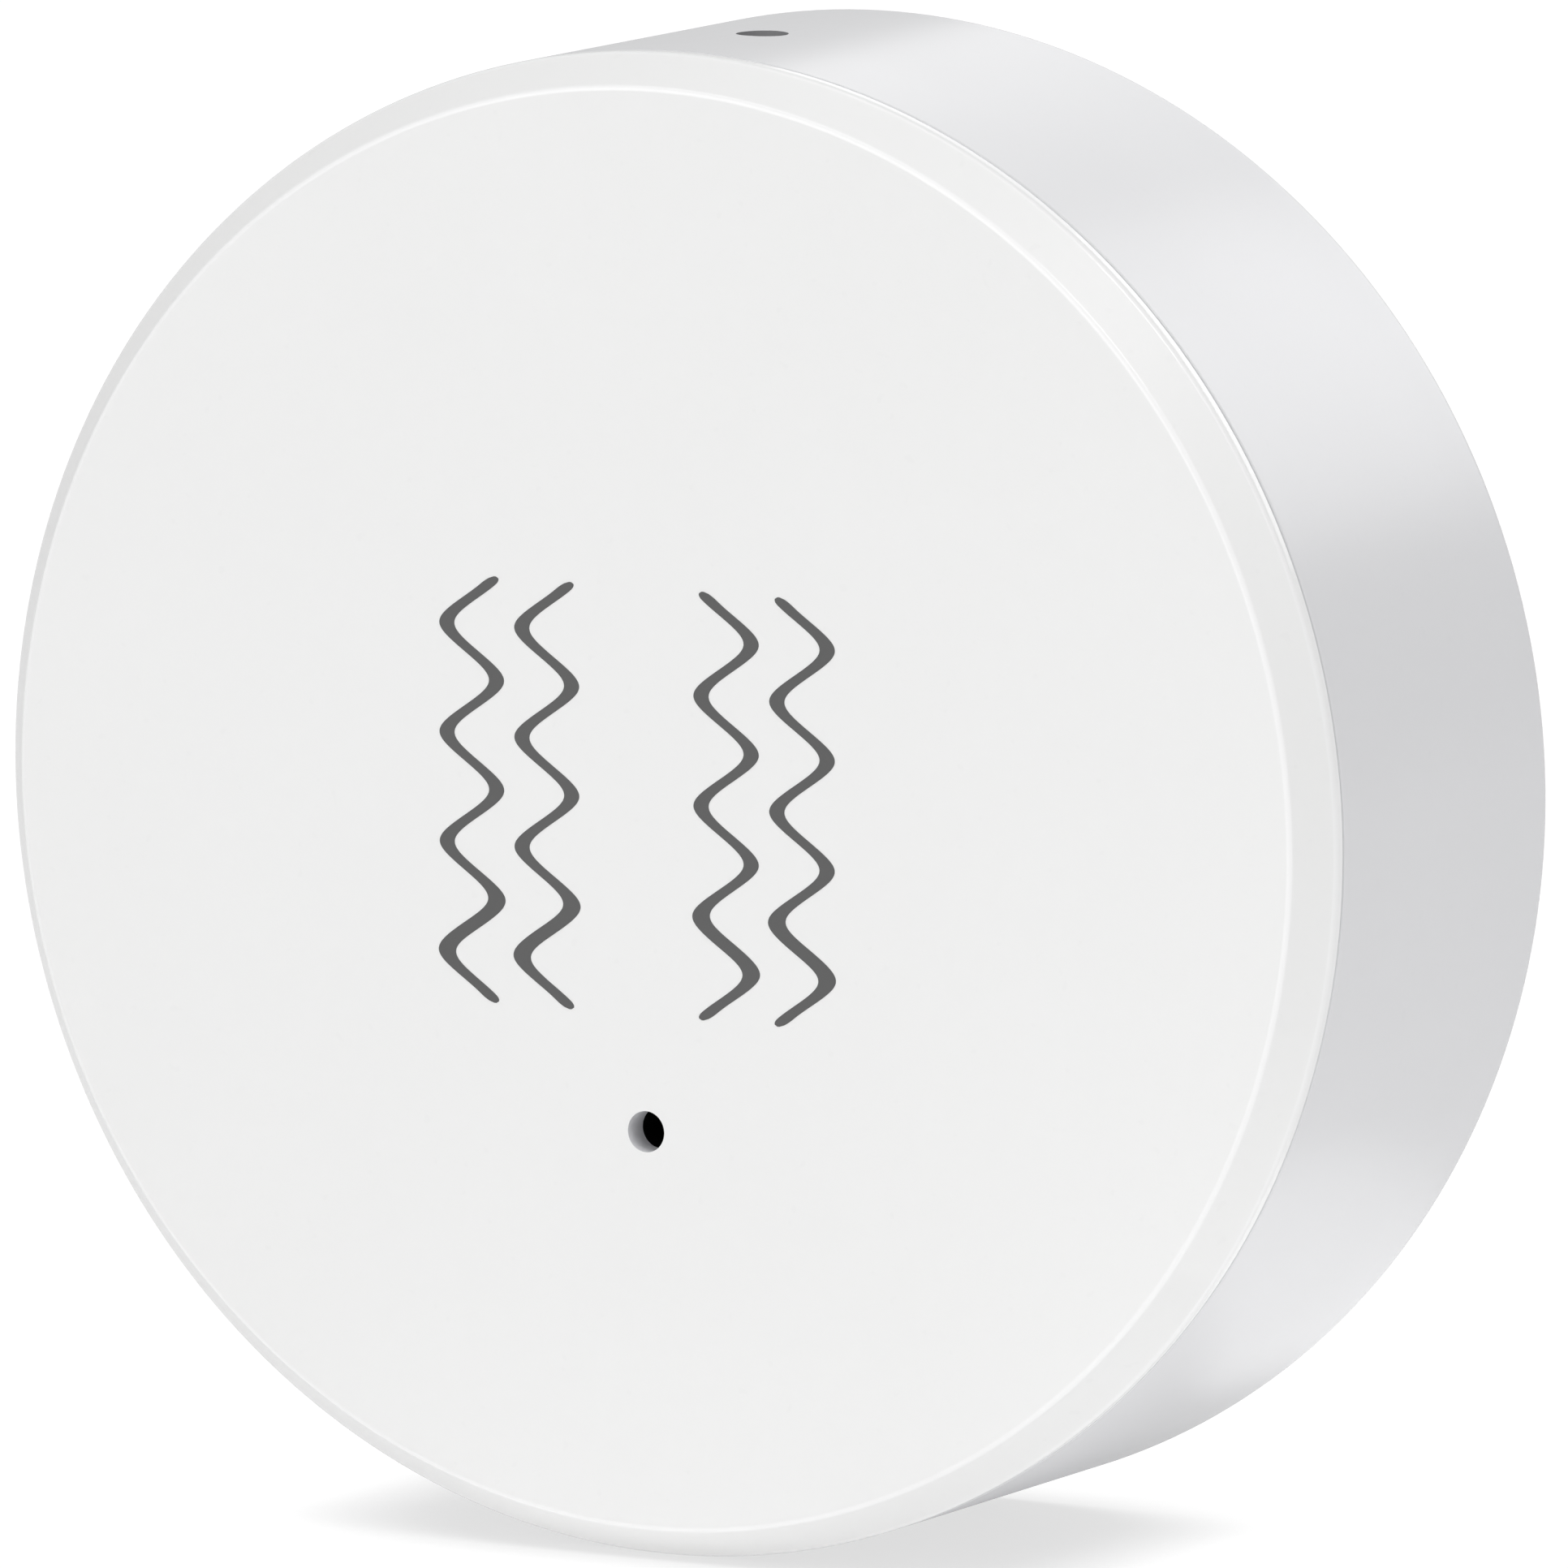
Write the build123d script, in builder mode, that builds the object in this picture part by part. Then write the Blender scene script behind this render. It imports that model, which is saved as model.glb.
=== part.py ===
from build123d import *
import os
from math import cos, pi, radians, sin, sqrt

# A round vibration sensor tag, 40 mm across and 13.1 mm deep, stuck to a wall or a door.
# Millimetres. The origin is the middle of the adhesive pad's outer face, +Y points
# into the wall, the printed front faces -Y and +Z is up. A height is a distance in
# front of the wall, so a point at a given height has y = -height.

# Stack from the wall to the printed face; less the pad's stand it adds up to 13.1
pad_stand = 0.4
plate_thickness = 1.4
foam_thickness = 1.2
foam_gap = 0.2
cell_thickness = 3.2
cell_gap = 0.6
tray_floor = 1.0
tray_foot = 0.4
board_thickness = 1.0
parts_room = 2.9
face_wall = 1.2

# Rings from the cell outwards; they add up to a radius of 20
cell_diameter = 20.0
well_gap = 0.25
well_wall = 1.0
tube_gap = 0.65
tube_diameter = 4.2
board_edge = 0.9
board_side_gap = 1.5
shell_wall = 1.5

# Outside of the housing, as the photograph shows it
chamfer_width = 0.86
chamfer_depth = 1.05
lip_depth = 0.35
lip_radius = 0.35
face_edge_chamfer = 0.1
parting_width = 0.06
parting_depth = 0.1
back_edge_chamfer = 0.2
light_hole_diameter = 1.1
light_hole_drop = 8.53
light_hole_wall = 0.8
reset_hole_diameter = 1.4

# Clearances
fit_gap = 0.1
turn_gap = 0.2
loose_gap = 0.25
metal_gap = 0.03
overrun = 1.0

# Skirt of the front cover, and the ledge of the shell between it and the board
skirt_wall = 1.1
skirt_lead = 0.3
ledge_width = 2.3
ledge_thickness = 0.8

# Screws through tray and board into the front cover
screw_first_angle = 45.0
screw_diameter = 1.4
screw_head_diameter = 2.8
screw_head_depth = 0.8
screw_end_gap = 0.5
screw_slot_width = 0.4
screw_slot_depth = 0.35
boss_diameter = 3.6
boss_gap = 0.4
gusset_width = 0.9
pilot_floor = 0.6

# Key that lines up front cover, shell and board
key_angle = 315.0
key_sweep = 8.0
key_play_sweep = 1.0

# Twist lock between the wall plate and the shell
plate_edge_chamfer = 0.3
pad_margin = 2.8
pad_thickness = 0.8
ring_wall = 1.2
ring_side_gap = 1.5
lug_count = 3
lug_first_angle = 90.0
lug_sweep = 18.0
lug_reach = 1.1
lug_thickness = 0.8
lug_rise = 1.3
lug_lead = 0.25
catch_sweep = 24.0
catch_thickness = 0.9
catch_rise = 0.2
stop_play_sweep = 0.5
stop_sweep = 2.0
twist_sweep = 25.0
plate_rib_width = 0.8
plate_rib_depth = 0.5
foam_diameter = 12.0

# Coin cell and its tray
cell_wall = 0.25
cell_crimp = 0.2
gasket_wall = 0.99
cell_cap_rise = 0.4
cell_edge_chamfer = 0.2
tray_rim = 1.0
cell_show = 0.4
finger_notch_angle = 225.0
finger_notch_width = 8.0

# Battery contacts, bent from strip
strip_thickness = 0.2
positive_strip_width = 4.0
negative_strip_width = 3.0
contact_foot_length = 1.9
contact_bow = 0.45
contact_bend_radius = 0.25
negative_foot_length = 2.2
negative_leaf_length = 5.8
negative_tip_rise = 0.2
negative_tip_run = 1.2

# Radio module on the front of the board
radio_board_width = 13.0
radio_board_length = 17.0
radio_board_thickness = 0.8
radio_board_lift_share = 0.235
pad_hole_diameter = 0.6
pad_hole_pitch = 1.27
pad_hole_count = 6
shield_side_margin = 0.8
shield_end_room = 6.0
shield_height = 1.5
shield_wall = 0.15
shield_corner_radius = 0.5
chip_side = 5.0
chip_height = 0.85
crystal_width = 2.5
crystal_length = 2.0
crystal_height = 0.6
antenna_turns = 5
antenna_side_margin = 1.3
antenna_reach = 3.2
antenna_line = 0.4
antenna_thickness = 0.1

# Other parts on the front of the board, placed by shares of its radius
capacitor_width = 3.5
capacitor_length = 2.8
capacitor_height = 1.9
capacitor_place_shares = (0.62, -0.24)
small_part_length = 1.0
small_part_width = 0.5
small_part_height = 0.45
small_part_pitch = 1.6
small_capacitor_place_shares = (-0.61, -0.12)
small_resistor_place_shares = (0.35, -0.54)
led_width = 1.6
led_length = 0.8
led_height = 0.6
led_dome_radius = 0.3
sleeve_diameter = 2.8
sleeve_foot_bore = 2.0
sleeve_foot_depth = 0.9
turret_wall = 0.8
turret_depth = 0.7

# Vibration switch on the back of the board
tube_length = 9.6
tube_wall = 0.35
base_plug_length = 1.2
pin_diameter = 0.5
pin_end_gap = 1.25
lead_run = 1.0
lead_bend_radius = 0.4
spring_wire = 0.2
spring_diameter = 2.2
spring_pitch = 0.8
spring_turns = 5

# Reset switch on the back of the board, below the pinhole
switch_width = 4.7
switch_depth = 2.4
switch_axis_drop = 1.2
switch_edge = 1.2
switch_frame_wall = 0.15
switch_front_wall = 0.6
plunger_width = 1.6
plunger_height = 1.0
plunger_stand = 1.3
plunger_flange = 0.25
plunger_flange_depth = 0.45
plunger_travel = 0.25
plunger_gap = 0.1
plunger_edge_radius = 0.2
dome_diameter = 1.1
dome_rise = 0.3
dome_wall = 0.08

# Heights along the stack
rim_height = pad_stand
plate_front_height = rim_height + plate_thickness
cell_back_height = plate_front_height + foam_thickness + foam_gap
cell_front_height = cell_back_height + cell_thickness
tray_back_height = cell_front_height + cell_gap
tray_floor_height = tray_back_height + tray_floor
board_back_height = tray_floor_height + tray_foot
board_front_height = board_back_height + board_thickness
face_back_height = board_front_height + parts_room
face_height = face_back_height + face_wall
lip_height = face_height - chamfer_depth
seam_height = lip_height - lip_depth
ledge_front_height = board_front_height + ledge_thickness
skirt_end_height = ledge_front_height + fit_gap
well_end_height = cell_back_height + cell_show
lug_back_height = plate_front_height + lug_rise
lug_front_height = lug_back_height + lug_thickness
catch_back_height = plate_front_height + catch_rise
reset_height = board_back_height - switch_axis_drop

# Radii of the rings
cell_radius = cell_diameter / 2
well_radius = cell_radius + well_gap
well_outer_radius = well_radius + well_wall
tube_radius = tube_diameter / 2
tube_place = well_outer_radius + tube_gap + tube_radius
board_radius = tube_place + tube_radius + board_edge
shell_inner_radius = board_radius + board_side_gap
body_radius = shell_inner_radius + shell_wall
face_radius = body_radius - chamfer_width
skirt_radius = shell_inner_radius - fit_gap
skirt_inner_radius = skirt_radius - skirt_wall
ledge_radius = shell_inner_radius - ledge_width
plate_radius = shell_inner_radius - turn_gap
pad_radius = plate_radius - pad_margin
ring_radius = shell_inner_radius - ring_side_gap
ring_inner_radius = ring_radius - ring_wall
catch_radius = ring_radius + turn_gap
foam_radius = foam_diameter / 2
boss_radius = boss_diameter / 2
screw_circle_radius = ledge_radius - boss_gap - boss_radius
screw_angles = [screw_first_angle, 180 - screw_first_angle, 270]
lug_angles = [lug_first_angle + turn * 360 / lug_count for turn in range(lug_count)]

# Local x is the distance from the turning axis, local y the height in front of the wall
profile_plane = Plane(origin=(0, 0, 0), x_dir=(1, 0, 0), z_dir=(0, 0, -1))

os.makedirs("parts", exist_ok=True)


def level(height):
    """Plane that faces the front, at a height in front of the wall; local y is +Z."""
    return Plane.XZ.offset(height)


def ring_sector(inner_radius, outer_radius, middle_angle, sweep):
    """Piece of a ring, drawn in the sketch that is open."""
    start_angle = middle_angle - sweep / 2
    with BuildLine() as outline:
        outer_arc = CenterArc((0, 0), outer_radius, start_angle, sweep)
        inner_arc = CenterArc((0, 0), inner_radius, start_angle, sweep)
        Line(outer_arc @ 0, inner_arc @ 0)
        Line(outer_arc @ 1, inner_arc @ 1)
    make_face(outline.edges())


def on_circle(radius, angle):
    """Point of a sketch at a radius and an angle about the turning axis."""
    return (radius * cos(radians(angle)), radius * sin(radians(angle)))


def on_board(place_shares):
    """Point of a sketch on the board, given by shares of the board's radius."""
    return (place_shares[0] * board_radius, place_shares[1] * board_radius)


def save(piece, name):
    """Label one finished piece and write it as its own file."""
    piece.part.label = name
    export_step(piece.part, f"parts/{name}.step")


# Front cover: face, chamfer, lip, skirt, screw bosses with gussets, light turret and key
turret_radius = sleeve_diameter / 2 + fit_gap + turret_wall
screw_seats = [on_circle(screw_circle_radius, angle) for angle in screw_angles]
with BuildPart() as front_cover:
    with BuildSketch(profile_plane):
        with BuildLine():
            Polyline(
                (0, face_height),
                (face_radius, face_height),
                (body_radius, lip_height),
                (body_radius, seam_height),
                (skirt_radius, seam_height),
                (skirt_radius, skirt_end_height + skirt_lead),
                (skirt_radius - skirt_lead, skirt_end_height),
                (skirt_inner_radius, skirt_end_height),
                (skirt_inner_radius, face_back_height),
                (0, face_back_height),
                close=True,
            )
        make_face()
    revolve(axis=Axis.Y)
    rounds = front_cover.edges().filter_by(GeomType.CIRCLE)
    face_edge = rounds.sort_by(Axis.Y)[0]
    lip_edge = rounds.group_by(SortBy.RADIUS)[-1].sort_by(Axis.Y)[0]
    chamfer(face_edge, length=face_edge_chamfer)
    fillet(lip_edge, radius=lip_radius)
    with BuildSketch(level(board_front_height)):
        with Locations(*screw_seats):
            Circle(boss_radius)
    extrude(amount=face_back_height - board_front_height + face_wall / 2)
    with BuildSketch(level(skirt_end_height)):
        for angle in screw_angles:
            with Locations(on_circle((screw_circle_radius + skirt_radius) / 2, angle)):
                Rectangle(skirt_radius - screw_circle_radius, gusset_width, rotation=angle)
    extrude(amount=face_back_height - skirt_end_height + face_wall / 2)
    with BuildSketch(level(face_back_height - turret_depth)):
        with Locations((0, -light_hole_drop)):
            Circle(turret_radius)
    extrude(amount=turret_depth + face_wall / 2)
    with BuildSketch(level(board_back_height)):
        ring_sector(ledge_radius + fit_gap, skirt_radius, key_angle, key_sweep)
    extrude(amount=face_back_height - board_back_height + face_wall / 2)
    with BuildSketch(level(board_front_height - overrun)):
        with Locations(*screw_seats):
            Circle(screw_diameter / 2 + metal_gap)
    extrude(amount=face_back_height - board_front_height - pilot_floor + overrun, mode=Mode.SUBTRACT)
    with BuildSketch(level(board_front_height - overrun)):
        with Locations((0, -light_hole_drop)):
            Circle(sleeve_diameter / 2 + fit_gap)
    turret_bore = face_height - light_hole_wall - board_front_height
    extrude(amount=turret_bore + overrun, mode=Mode.SUBTRACT)
    with BuildSketch(level(face_height + overrun)):
        with Locations((0, -light_hole_drop)):
            Circle(light_hole_diameter / 2)
    extrude(amount=-(light_hole_wall + 2 * overrun), mode=Mode.SUBTRACT)
save(front_cover, "front_cover")

# Side shell: smooth wall, board ledge with key notch, three catches and their stops, reset pinhole
wall_middle_radius = (shell_inner_radius + body_radius) / 2
lock_stop_turn = (lug_sweep + stop_sweep) / 2 + stop_play_sweep
free_stop_turn = lock_stop_turn + twist_sweep
with BuildPart() as side_shell:
    with BuildSketch(profile_plane):
        with BuildLine():
            Polyline(
                (body_radius, rim_height),
                (body_radius, seam_height - parting_width),
                (body_radius - parting_depth, seam_height - parting_width),
                (body_radius - parting_depth, seam_height),
                (shell_inner_radius, seam_height),
                (shell_inner_radius, ledge_front_height),
                (ledge_radius, ledge_front_height),
                (ledge_radius, board_front_height),
                (shell_inner_radius, board_front_height),
                (shell_inner_radius, rim_height),
                close=True,
            )
        make_face()
    revolve(axis=Axis.Y)
    rounds = side_shell.edges().filter_by(GeomType.CIRCLE)
    chamfer(rounds.group_by(SortBy.RADIUS)[-1].sort_by(Axis.Y)[-1], length=back_edge_chamfer)
    with BuildSketch(level(catch_back_height)):
        for angle in lug_angles:
            ring_sector(catch_radius, wall_middle_radius, angle, catch_sweep)
    extrude(amount=catch_thickness)
    with BuildSketch(level(catch_back_height)):
        for angle in lug_angles:
            ring_sector(catch_radius, wall_middle_radius, angle + lock_stop_turn, stop_sweep)
            ring_sector(catch_radius, wall_middle_radius, angle - free_stop_turn, stop_sweep)
    extrude(amount=lug_front_height - catch_back_height)
    with BuildSketch(level(board_front_height - overrun)):
        key_play = key_sweep + 2 * key_play_sweep
        ring_sector(ledge_radius - overrun, shell_inner_radius, key_angle, key_play)
    extrude(amount=ledge_thickness + 2 * overrun, mode=Mode.SUBTRACT)
    with BuildSketch(Plane.XY.offset(body_radius + overrun)):
        with Locations((0, -reset_height)):
            Circle(reset_hole_diameter / 2)
    extrude(amount=-(shell_wall + 2 * overrun), mode=Mode.SUBTRACT)
save(side_shell, "side_shell")

# Back cover: wall plate with a seat for the pad, a ring with three bayonet lugs, and ribs
with BuildPart() as back_cover:
    with BuildSketch(profile_plane):
        with BuildLine():
            Polyline(
                (0, pad_thickness),
                (pad_radius + fit_gap, pad_thickness),
                (pad_radius + fit_gap, rim_height),
                (plate_radius, rim_height),
                (plate_radius, plate_front_height),
                (ring_radius, plate_front_height),
                (ring_radius, lug_front_height),
                (ring_inner_radius, lug_front_height),
                (ring_inner_radius, plate_front_height),
                (0, plate_front_height),
                close=True,
            )
        make_face()
    revolve(axis=Axis.Y)
    rounds = back_cover.edges().filter_by(GeomType.CIRCLE)
    chamfer(rounds.group_by(SortBy.RADIUS)[-1].sort_by(Axis.Y)[-1], length=plate_edge_chamfer)
    with BuildSketch(level(lug_back_height)):
        for angle in lug_angles:
            ring_sector(ring_radius - ring_wall / 2, ring_radius + lug_reach, angle, lug_sweep)
    extrude(amount=lug_thickness)
    lug_tip_edges = [
        edge
        for edge in back_cover.edges().filter_by(GeomType.CIRCLE)
        if abs(edge.radius - ring_radius - lug_reach) < metal_gap
    ]
    chamfer(lug_tip_edges, length=lug_lead)
    with BuildSketch(level(plate_front_height)):
        for angle in screw_angles:
            rib_middle = (foam_radius + ring_inner_radius) / 2
            with Locations(on_circle(rib_middle, angle)):
                rib_length = ring_inner_radius - foam_radius - plate_rib_width + ring_wall / 2
                Rectangle(rib_length, plate_rib_width, rotation=angle)
    extrude(amount=plate_rib_depth)
save(back_cover, "back_cover")

# Adhesive pad, half sunk in the plate's seat
with BuildPart() as adhesive_pad:
    with BuildSketch(level(0)):
        Circle(pad_radius)
    extrude(amount=pad_thickness)
save(adhesive_pad, "adhesive_pad")

# Foam pad that keeps the cell from rattling
with BuildPart() as battery_foam_pad:
    with BuildSketch(level(plate_front_height)):
        Circle(foam_radius)
    extrude(amount=foam_thickness)
save(battery_foam_pad, "battery_foam_pad")

# Battery tray: floor, well wall for the cell, rim against the board, windows for both switches
tube_room = tube_radius + loose_gap
tube_span = tube_length + 2 * lead_run + 2 * loose_gap
switch_front_place = board_radius - switch_edge
switch_back_place = switch_front_place - switch_depth
switch_room = switch_width / 2 + switch_frame_wall + loose_gap
contact_place = cell_radius + strip_thickness / 2 + metal_gap
contact_slot = contact_bow + strip_thickness + 2 * loose_gap
with BuildPart() as battery_tray:
    with BuildSketch(profile_plane):
        with BuildLine():
            Polyline(
                (0, tray_back_height),
                (well_radius, tray_back_height),
                (well_radius, well_end_height),
                (well_outer_radius, well_end_height),
                (well_outer_radius, tray_back_height),
                (board_radius, tray_back_height),
                (board_radius, board_back_height),
                (board_radius - tray_rim, board_back_height),
                (board_radius - tray_rim, tray_floor_height),
                (0, tray_floor_height),
                close=True,
            )
        make_face()
    revolve(axis=Axis.Y)
    with BuildSketch(level(tray_back_height)):
        with Locations(*screw_seats):
            Circle(boss_radius)
    extrude(amount=board_back_height - tray_back_height)
    with BuildSketch(level(tray_back_height - overrun)):
        with Locations(*screw_seats):
            Circle(screw_diameter / 2 + fit_gap)
    extrude(amount=tray_floor + tray_foot + 2 * overrun, mode=Mode.SUBTRACT)
    with BuildSketch(level(tray_back_height - overrun)):
        tube_window_inner = tube_place - tube_room
        with Locations((-(tube_window_inner + board_radius + overrun) / 2, 0)):
            Rectangle(board_radius + overrun - tube_window_inner, tube_span)
        with Locations((0, (switch_back_place - loose_gap + board_radius + overrun) / 2)):
            Rectangle(2 * switch_room, board_radius + overrun - switch_back_place + loose_gap)
        with Locations((contact_place + contact_slot / 2 - strip_thickness, 0)):
            Rectangle(contact_slot, positive_strip_width + 2 * loose_gap)
        with Locations((-negative_leaf_length, 0)):
            Rectangle(strip_thickness + 2 * loose_gap, negative_strip_width + 2 * loose_gap)
        with Locations((-negative_leaf_length - negative_foot_length / 2, 0)):
            Rectangle(negative_foot_length, negative_strip_width + loose_gap)
    extrude(amount=tray_floor + tray_foot + 2 * overrun, mode=Mode.SUBTRACT)
    with BuildSketch(level(well_end_height - overrun)):
        with Locations((well_radius + well_wall / 2, 0)):
            Rectangle(well_wall + 2 * loose_gap, positive_strip_width + 2 * loose_gap)
        with Locations(on_circle(well_radius + well_wall / 2, finger_notch_angle)):
            Rectangle(2 * well_wall + well_wall, finger_notch_width, rotation=finger_notch_angle)
    extrude(amount=tray_back_height - well_end_height + overrun, mode=Mode.SUBTRACT)
save(battery_tray, "battery_tray")

# Three slotted screws, one node
with BuildPart() as tray_screws:
    with BuildSketch(level(tray_back_height - screw_head_depth)):
        with Locations(*screw_seats):
            Circle(screw_head_diameter / 2)
    extrude(amount=screw_head_depth)
    with BuildSketch(level(tray_back_height)):
        with Locations(*screw_seats):
            Circle(screw_diameter / 2)
    screw_end_height = face_back_height - pilot_floor - screw_end_gap
    extrude(amount=screw_end_height - tray_back_height)
    with BuildSketch(level(tray_back_height - screw_head_depth)):
        with Locations(*screw_seats):
            Rectangle(screw_head_diameter, screw_slot_width)
    extrude(amount=screw_slot_depth, mode=Mode.SUBTRACT)
save(tray_screws, "tray_screws")

# Circuit board with screw holes and the key notch
with BuildPart() as circuit_board:
    with BuildSketch(level(board_back_height)):
        Circle(board_radius)
        with Locations(*screw_seats):
            Circle(screw_diameter / 2 + fit_gap, mode=Mode.SUBTRACT)
    extrude(amount=board_thickness)
    with BuildSketch(level(board_back_height - overrun)):
        ring_sector(ledge_radius, board_radius + overrun, key_angle, key_sweep + 2 * key_play_sweep)
    extrude(amount=board_thickness + 2 * overrun, mode=Mode.SUBTRACT)
save(circuit_board, "circuit_board")

# Radio module: a small board with half holes down both sides
radio_board_lift = radio_board_lift_share * board_radius
with BuildPart() as radio_board:
    with BuildSketch(level(board_front_height)):
        with Locations((0, radio_board_lift)):
            Rectangle(radio_board_width, radio_board_length)
            with GridLocations(radio_board_width, pad_hole_pitch, 2, pad_hole_count):
                Circle(pad_hole_diameter / 2, mode=Mode.SUBTRACT)
    extrude(amount=radio_board_thickness)
save(radio_board, "radio_board")

# Printed antenna on the upper end of the radio board, one zigzag line
radio_top_height = board_front_height + radio_board_thickness
radio_top_edge = radio_board_lift + radio_board_length / 2
antenna_low = radio_top_edge - antenna_reach - antenna_line
antenna_high = radio_top_edge - antenna_line
antenna_width = radio_board_width - 2 * antenna_side_margin
antenna_step = antenna_width / (2 * antenna_turns)
with BuildPart() as radio_antenna:
    with BuildSketch(level(radio_top_height)):
        for leg in range(2 * antenna_turns + 1):
            leg_x = -antenna_width / 2 + leg * antenna_step
            with Locations((leg_x, (antenna_low + antenna_high) / 2)):
                Rectangle(antenna_line, antenna_high - antenna_low + antenna_line)
            if leg < 2 * antenna_turns:
                bar_z = antenna_high if leg % 2 == 0 else antenna_low
                with Locations((leg_x + antenna_step / 2, bar_z)):
                    Rectangle(antenna_step + antenna_line, antenna_line)
    extrude(amount=antenna_thickness)
save(radio_antenna, "radio_antenna")

# Shield can over the radio chip, open towards the board
shield_width = radio_board_width - 2 * shield_side_margin
shield_length = radio_board_length - shield_end_room - pad_hole_diameter
shield_z = radio_board_lift - radio_board_length / 2 + shield_length / 2 + pad_hole_diameter
with BuildPart() as radio_shield:
    with BuildSketch(level(radio_top_height)):
        with Locations((0, shield_z)):
            RectangleRounded(shield_width, shield_length, shield_corner_radius)
    extrude(amount=shield_height)
    offset(amount=-shield_wall, openings=radio_shield.faces().sort_by(Axis.Y)[-1])
save(radio_shield, "radio_shield")

# Radio chip and its crystal, under the can
with BuildPart() as radio_chip:
    with BuildSketch(level(radio_top_height)):
        with Locations((-shield_width / 2 + chip_side / 2 + chip_height, shield_z)):
            Rectangle(chip_side, chip_side)
    extrude(amount=chip_height)
save(radio_chip, "radio_chip")

with BuildPart() as radio_crystal:
    with BuildSketch(level(radio_top_height)):
        with Locations((shield_width / 2 - crystal_width / 2 - crystal_height, shield_z)):
            Rectangle(crystal_width, crystal_length)
    extrude(amount=crystal_height)
save(radio_crystal, "radio_crystal")

# Reservoir capacitor, a moulded block
with BuildPart() as reservoir_capacitor:
    with BuildSketch(level(board_front_height)):
        with Locations(on_board(capacitor_place_shares)):
            Rectangle(capacitor_width, capacitor_length)
    extrude(amount=capacitor_height)
    chamfer(reservoir_capacitor.faces().sort_by(Axis.Y)[0].edges(), length=small_part_width / 2)
save(reservoir_capacitor, "reservoir_capacitor")

# Chip capacitors and chip resistors, one node each
with BuildPart() as chip_capacitors:
    with BuildSketch(level(board_front_height)):
        with Locations(on_board(small_capacitor_place_shares)):
            with GridLocations(small_part_pitch, small_part_pitch, 1, 4):
                Rectangle(small_part_length, small_part_width)
    extrude(amount=small_part_height)
save(chip_capacitors, "chip_capacitors")

with BuildPart() as chip_resistors:
    with BuildSketch(level(board_front_height)):
        with Locations(on_board(small_resistor_place_shares)):
            with GridLocations(small_part_pitch, small_part_pitch, 2, 3):
                Rectangle(small_part_length, small_part_width)
    extrude(amount=small_part_height)
save(chip_resistors, "chip_resistors")

# Status light, a small block with a domed lens
with BuildPart() as status_led:
    with BuildSketch(level(board_front_height)):
        with Locations((0, -light_hole_drop)):
            Rectangle(led_width, led_length)
    extrude(amount=led_height / 2)
    with BuildSketch(level(board_front_height + led_height / 2)):
        with Locations((0, -light_hole_drop)):
            Circle(led_dome_radius)
    extrude(amount=led_height / 2)
    chamfer(status_led.faces().sort_by(Axis.Y)[0].edges(), length=led_height / 4)
save(status_led, "status_led")

# Black sleeve from the board to the pinhole, wide at its foot for the light
sleeve_end_height = face_height - light_hole_wall
with BuildPart() as led_sleeve:
    with BuildSketch(level(board_front_height)):
        with Locations((0, -light_hole_drop)):
            Circle(sleeve_diameter / 2)
            Circle(sleeve_foot_bore / 2, mode=Mode.SUBTRACT)
    extrude(amount=sleeve_foot_depth)
    with BuildSketch(level(board_front_height + sleeve_foot_depth)):
        with Locations((0, -light_hole_drop)):
            Circle(sleeve_diameter / 2)
            Circle(light_hole_diameter / 2, mode=Mode.SUBTRACT)
    extrude(amount=sleeve_end_height - board_front_height - sleeve_foot_depth)
save(led_sleeve, "led_sleeve")

# Coin cell: a cup, a cap that faces the board, and the gasket between them
cell_shoulder_height = cell_front_height - cell_cap_rise
gasket_radius = cell_radius - cell_wall - metal_gap
cell_cap_radius = gasket_radius - gasket_wall - metal_gap
with BuildPart() as coin_cell_can:
    with BuildSketch(profile_plane):
        with BuildLine():
            Polyline(
                (0, cell_back_height),
                (cell_radius - cell_crimp, cell_back_height),
                (cell_radius, cell_back_height + cell_crimp),
                (cell_radius, cell_shoulder_height),
                (cell_radius - cell_wall, cell_shoulder_height),
                (cell_radius - cell_wall, cell_back_height + cell_wall),
                (0, cell_back_height + cell_wall),
                close=True,
            )
        make_face()
    revolve(axis=Axis.Y)
save(coin_cell_can, "coin_cell_can")

with BuildPart() as coin_cell_gasket:
    with BuildSketch(level(cell_back_height + cell_wall)):
        Circle(gasket_radius)
        Circle(cell_cap_radius + metal_gap, mode=Mode.SUBTRACT)
    extrude(amount=cell_shoulder_height - cell_back_height - cell_wall)
save(coin_cell_gasket, "coin_cell_gasket")

with BuildPart() as coin_cell_cap:
    with BuildSketch(level(cell_back_height + cell_wall)):
        Circle(cell_cap_radius)
    extrude(amount=cell_thickness - cell_wall)
    chamfer(coin_cell_cap.edges().sort_by(Axis.Y)[0], length=cell_edge_chamfer)
save(coin_cell_cap, "coin_cell_cap")

# Positive contact: foot on the board, blade through the tray, bowed against the can's side
foot_height = board_back_height - strip_thickness / 2
blade_x = contact_place + contact_bow
cell_middle_height = (cell_front_height + cell_back_height) / 2
with BuildPart() as positive_contact:
    with BuildSketch(profile_plane):
        with BuildLine():
            FilletPolyline(
                (blade_x + contact_foot_length, foot_height),
                (blade_x, foot_height),
                (blade_x, cell_front_height),
                (contact_place, cell_middle_height),
                (blade_x, well_end_height),
                radius=contact_bend_radius,
            )
        trace(line_width=strip_thickness)
    extrude(amount=positive_strip_width / 2, both=True)
save(positive_contact, "positive_contact")

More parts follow.
